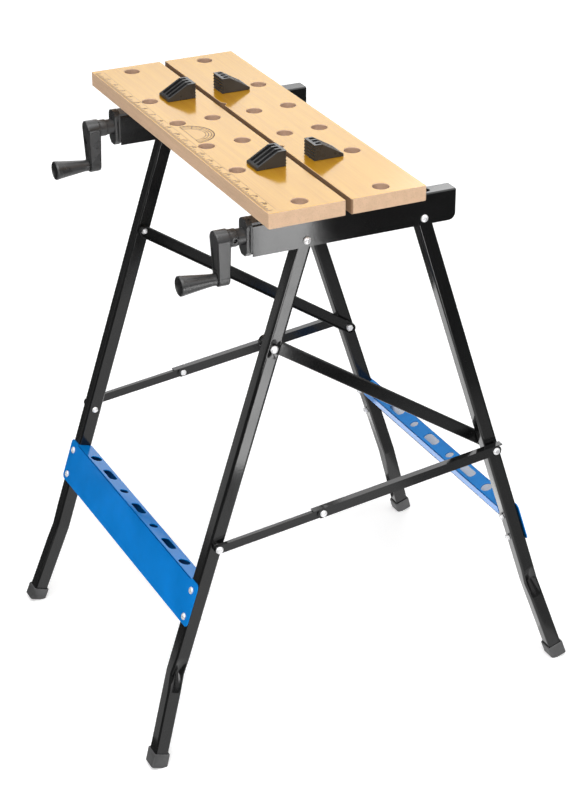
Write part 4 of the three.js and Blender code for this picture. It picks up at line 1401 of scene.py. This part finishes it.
def driven(bm, at, top, along, size=3.0):
    """Cuts a cross recess into a head whose top stands at a distance along the axis."""
    turn = Vector(along).to_track_quat("Z", "Y").to_matrix().to_4x4()
    place = Matrix.Translation(at) @ turn
    for x, y in ((size, 0.75), (0.75, size)):
        slot = block(-x, x, -y, y, top - 2.2, top + 1)
        carve(bm, move(slot, place))
    return bm


def paint_spacers(bm, point):
    """Gives the spacers of a bolt along X the second finish."""
    for f in bm.faces:
        centre = f.calc_center_median()
        if (Vector((centre.y, centre.z)) - point).length > 5.0:
            f.material_index = 1
    return bm


def pivot_bolt(point, tail, head, spacers=(), cross=False):
    """A bolt through a pivot along X, riveted inside, with spacers between the links."""
    profile = riveted(tail) + [(3.0, tail)]
    for x0, x1 in spacers:
        profile += [(3.0, x0), (5.2, x0), (5.6, x0 + 0.3), (5.6, x1 - 0.3), (5.2, x1), (3.0, x1)]
    profile += [(3.0, head)] + dome(head)
    at = (0, point.x, point.y)
    bm = turned(profile, at, (1, 0, 0))
    if cross:
        driven(bm, at, head + 3.0, (1, 0, 0))
    return paint_spacers(bm, point)


def hex_nut(across, low, high, at, along):
    """A six-sided nut with eased corners."""
    bm = turned([(0, low), (across, low), (across, high), (0, high)], facets=6)
    soften(bm, 0.35, 2, sharper=40)
    turn = Vector(along).to_track_quat("Z", "Y").to_matrix().to_4x4()
    return move(bm, Matrix.Translation(at) @ turn)


def knee_rivet():
    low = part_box("brace_long_right")[0].x / MM
    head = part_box("brace_long_right")[1].x / MM + CLEAR
    profile = [
        (0, low - 1.8), (3.6, low - 1.8), (4.2, low - 1.4), (4.2, low - CLEAR), (3.0, low - CLEAR), (3.0, head),
    ]
    return turned(profile + dome(head, 4.6, 2.5), (0, KNEE.x, KNEE.y), (1, 0, 0))


def rear_bolts():
    """The rear pivot's outer bolt and inner stud, split at the leg's faces."""
    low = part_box("brace_long_right")[0].x / MM
    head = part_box("brace_long_right")[1].x / MM + CLEAR
    at = (0, BAR_REAR.x, BAR_REAR.y)
    start = LEG_OUT + CLEAR
    profile = [
        (0, start), (5.2, start), (5.6, start + 0.3), (5.6, low - CLEAR - 0.3), (5.2, low - CLEAR),
        (3.0, low - CLEAR), (3.0, head),
    ]
    outer = driven(turned(profile + dome(head), at, (1, 0, 0)), at, head + 3.0, (1, 0, 0))
    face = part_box("bar_right")[1].x / MM
    nut = face - 1.5 - CLEAR
    profile = [
        (0, nut - 5.5), (2.5, nut - 5.5), (3.0, nut - 5.0), (3.0, face + CLEAR), (5.6, face + CLEAR),
        (5.6, LEG_IN - CLEAR), (0, LEG_IN - CLEAR),
    ]
    inner = turned(profile, at, (1, 0, 0))
    carve(inner, hex_nut(5.2, nut - 4.5, nut, at, (1, 0, 0)), "UNION")
    return paint_spacers(outer, BAR_REAR), paint_spacers(inner, BAR_REAR)


def tray_bolt(leg, s):
    """A bolt square to the leg's face, with its nut on the inner face."""
    point = leg.pivot + leg.down * (TRAY_AT + s)
    at = (CHANNEL_X, point.x, point.y)
    along = (0, leg.out.x, leg.out.y)
    head = LEG / 2 + 2 * CLEAR + 1.2
    nut = -LEG / 2 - CLEAR
    profile = [(0, nut - 5), (2.0, nut - 5), (2.5, nut - 4.5), (2.5, head)] + dome(head, 4.6, 2.5)
    bm = driven(turned(profile, at, along), at, head + 2.5, along, 2.8)
    return carve(bm, hex_nut(4.6, nut - 4, nut, at, along), "UNION")


class WORKBENCH_OT_fasteners(bpy.types.Operator):
    """Build the pivot bolts, rivets and tray bolts"""

    bl_idname = "workbench.fasteners"
    bl_label = "Fasteners"

    def execute(self, context):
        coats = [get_finish("zinc_plate"), get_finish("gloss_black")]
        channel_low, channel_high = [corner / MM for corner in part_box("channel_right")]
        inside, outside = channel_low.x - CLEAR, channel_high.x + CLEAR
        bar_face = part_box("bar_right")[1].x / MM
        short_low, short_high = [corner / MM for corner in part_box("brace_short_right")]
        shapes = {
            "bolt_top_front": pivot_bolt(PIVOT_FRONT, inside, outside, cross=True),
            "bolt_top_rear": pivot_bolt(PIVOT_REAR, inside, outside, cross=True),
            "bolt_bar": pivot_bolt(
                BAR_FRONT, bar_face - 1.5 - CLEAR, LEG_OUT + CLEAR, [(bar_face + CLEAR, LEG_IN - CLEAR)]
            ),
            "bolt_brace": pivot_bolt(
                BRACE_FRONT, LEG_IN - CLEAR, short_high.x + CLEAR, [(LEG_OUT + CLEAR, short_low.x - CLEAR)]
            ),
            "rivet_knee": knee_rivet(),
        }
        shapes["bolt_rear_outer"], shapes["bolt_rear_inner"] = rear_bolts()
        for row, leg in (("front", FRONT), ("rear", REAR)):
            for level, s in zip(("upper", "lower"), TRAY_BOLTS):
                shapes[f"tray_bolt_{row}_{level}"] = tray_bolt(leg, s)
        for name, shape in shapes.items():
            finish_pair(name, shape, coats)
        return {"FINISHED"}


# Stage


def softbox(name, place, aim, size, power):
    """A square light that the camera doesn't see."""
    light = bpy.data.lights.new(name, "AREA")
    light.size = size
    light.energy = power
    lamp = bpy.data.objects.new(name, light)
    bpy.context.scene.collection.objects.link(lamp)
    lamp.location = place
    lamp.rotation_mode = "QUATERNION"
    lamp.rotation_quaternion = (Vector(aim) - Vector(place)).to_track_quat("-Z", "Y")
    lamp.visible_camera = False
    return lamp


def stage_sheet(name, colour, glow, middle, size, aim=(0, 0, 1), roll=0.0):
    """A glowing rectangle of the stage that faces a direction, rolled by degrees."""
    finish = Finish(name)
    ripple = finish.group("Skin ripple", Scale=40.0, Patch_Scale=1.5)
    finish.link(
        finish.mix(finish.span(ripple.outputs["Patch"], 0.0, 1.0), colour, shade(colour, 0.99)),
        "Base Color",
    )
    finish.set(Roughness=0.9, Specular_IOR_Level=0.0)
    finish.set(Emission_Color=(1, 1, 1, 1), Emission_Strength=glow)
    bm = bmesh.new()
    face = Vector(aim).to_track_quat("Z", "Y").to_matrix().to_4x4()
    face = face @ Matrix.Rotation(math.radians(roll), 4, "Z")
    place = Matrix.Translation(middle) @ face @ Matrix.Diagonal((*size, 1, 1))
    bmesh.ops.create_grid(bm, x_segments=1, y_segments=1, size=0.5, matrix=place)
    mesh = bpy.data.meshes.new(name)
    bm.to_mesh(mesh)
    bm.free()
    mesh.materials.append(finish.material)
    sheet = bpy.data.objects.new(name, mesh)
    bpy.context.scene.collection.objects.link(sheet)
    return sheet


def reflector(name, glow, middle, size, aim=(0, 0, 1), roll=0.0):
    """A patch of light that shows in gloss alone."""
    card = stage_sheet(name, (0, 0, 0), glow, middle, size, aim, roll)
    card.visible_camera = False
    card.visible_diffuse = False
    card.visible_shadow = False


class WORKBENCH_OT_stage(bpy.types.Operator):
    """Build the floor, the light and the camera"""

    bl_idname = "workbench.stage"
    bl_label = "Stage"

    def execute(self, context):
        scene = context.scene
        stage = scene.bench_stage
        floor = stage_sheet("floor", stage.floor, 0.4, (0, 0, 0), (18, 18))
        floor.visible_glossy = False
        # Paint and metal see patches of light and a darker room round them
        side, back = (1, 0, 0), (2.3, -1.6, 0)
        reflector("under_right", 1.5, (-0.2, 0.13, 0.002), (0.8, 0.17), roll=21.4)
        reflector("under_left", 0.7, (-0.68, 0.14, 0.002), (0.8, 0.17), roll=21.4)
        reflector("under_tray", 2.8, (-0.25, 0.187, 0.003), (0.4, 0.05))
        reflector("beside_front", 1.1, (0.3, 0.02, 0.001), (1.1, 0.64))
        reflector("beside_rear", 0.45, (0.35, 0.5, 0.001), (1.2, 0.32))
        reflector("right_leg", 7.0, (0.55, 0.028, 0.36), (0.07, 0.34), side, -17.6)
        reflector("right_end", 7.5, (0.55, 0.042, 0.56), (0.095, 0.11), side)
        reflector("right_crank", 8.0, (0.55, -0.115, 0.5), (0.13, 0.16), side)
        reflector("front_upper", 0.6, (-3.05, -2.36, 0.002), (5.1, 0.4), roll=32.9)
        reflector("front_lower", 0.55, (-0.05, -0.47, 0.002), (0.42, 0.16), roll=33.0)
        reflector("low_back", 2.2, (-2.3, 1.4, 0.87), (1.7, 0.55), back)
        reflector("high_back", 3.0, (-2.4, 0.46, 2.27), (0.5, 0.95), side)
        reflector("board_back", 2.1, (-2.4, 1.1, 2.0), (1.8, 0.9), side)
        # From the other sides the varnish also sees light
        reflector("ceiling", 2.2, (0, 0, 4.3), (7.5, 7.5))
        for tier, glow, level, height in (("lower", 0.7, 1.3, 1.3), ("upper", 1.9, 3.0, 2.1)):
            reflector(f"{tier}_front", glow, (-0.4, -3.4, level), (4.4, height), (0, 1, 0))
            reflector(f"{tier}_rear", glow, (1.2, 3.4, level), (4.4, height), (0, 1, 0))
            reflector(f"{tier}_right", glow, (3.4, 1.2, level), (4.4, height), side)
        world = bpy.data.worlds.new("surround")
        world.use_nodes = True
        scene.world = world
        room = world.node_tree
        background = room.nodes["Background"]
        background.inputs["Strength"].default_value = stage.surround
        # The room is darker near the floor than overhead
        aim = room.nodes.new("ShaderNodeTexCoord")
        split = room.nodes.new("ShaderNodeSeparateXYZ")
        rise = node(room, "ShaderNodeMapRange", To_Min=0.25, To_Max=1.0)
        rise.inputs["From Min"].default_value = -0.1
        rise.inputs["From Max"].default_value = 0.6
        room.links.new(aim.outputs["Generated"], split.inputs["Vector"])
        room.links.new(split.outputs["Z"], rise.inputs["Value"])
        room.links.new(rise.outputs["Result"], background.inputs["Color"])
        middle = (0.0, 0.0, 0.5)
        softbox("overhead", (0.9, -0.5, 3.2), middle, 2.6, 58.0)
        softbox("back", (-2.6, 1.4, 1.6), middle, 2.6, 28.0)
        softbox("camera_side", (2.9, -1.7, 1.9), middle, 1.6, 46.0)
        lens = bpy.data.cameras.new("camera")
        lens.sensor_width = 36.0
        lens.lens = stage.lens
        camera = bpy.data.objects.new("camera", lens)
        scene.collection.objects.link(camera)
        place, target = Vector(stage.camera), Vector(stage.target)
        camera.location = place
        camera.rotation_mode = "QUATERNION"
        camera.rotation_quaternion = (target - place).to_track_quat("-Z", "Y")
        scene.camera = camera
        scene.view_settings.view_transform = "Standard"
        return {"FINISHED"}


# Add-on

SETTINGS = {
    "bench_wood": WoodSettings,
    "bench_paint": PaintSettings,
    "bench_plastic": PlasticSettings,
    "bench_hardware": HardwareSettings,
    "bench_stage": StageSettings,
}
OPERATORS = (
    WORKBENCH_OT_jaws,
    WORKBENCH_OT_dogs,
    WORKBENCH_OT_clamp,
    WORKBENCH_OT_cranks,
    WORKBENCH_OT_legs,
    WORKBENCH_OT_links,
    WORKBENCH_OT_trays,
    WORKBENCH_OT_fasteners,
    WORKBENCH_OT_stage,
)


class WORKBENCH_PT_pieces(bpy.types.Panel):
    """Settings and build steps of the workbench"""

    bl_idname = "WORKBENCH_PT_pieces"
    bl_label = "Folding workbench"
    bl_space_type = "VIEW_3D"
    bl_region_type = "UI"
    bl_category = "Workbench"

    def draw(self, context):
        for name, group in SETTINGS.items():
            column = self.layout.box().column()
            for key in group.__annotations__:
                column.prop(getattr(context.scene, name), key)
        for operator in OPERATORS:
            self.layout.operator(operator.bl_idname)


CLASSES = (*SETTINGS.values(), *OPERATORS, WORKBENCH_PT_pieces)


def register():
    for cls in CLASSES:
        bpy.utils.register_class(cls)
    for name, group in SETTINGS.items():
        setattr(bpy.types.Scene, name, PointerProperty(type=group))


def unregister():
    for name in SETTINGS:
        delattr(bpy.types.Scene, name)
    for cls in reversed(CLASSES):
        bpy.utils.unregister_class(cls)


def main():
    register()
    bpy.ops.workbench.jaws()
    bpy.ops.workbench.dogs()
    bpy.ops.workbench.clamp()
    bpy.ops.workbench.cranks()
    bpy.ops.workbench.legs()
    bpy.ops.workbench.links()
    bpy.ops.workbench.trays()
    bpy.ops.workbench.fasteners()
    bpy.ops.workbench.stage()


if __name__ == "__main__":
    main()
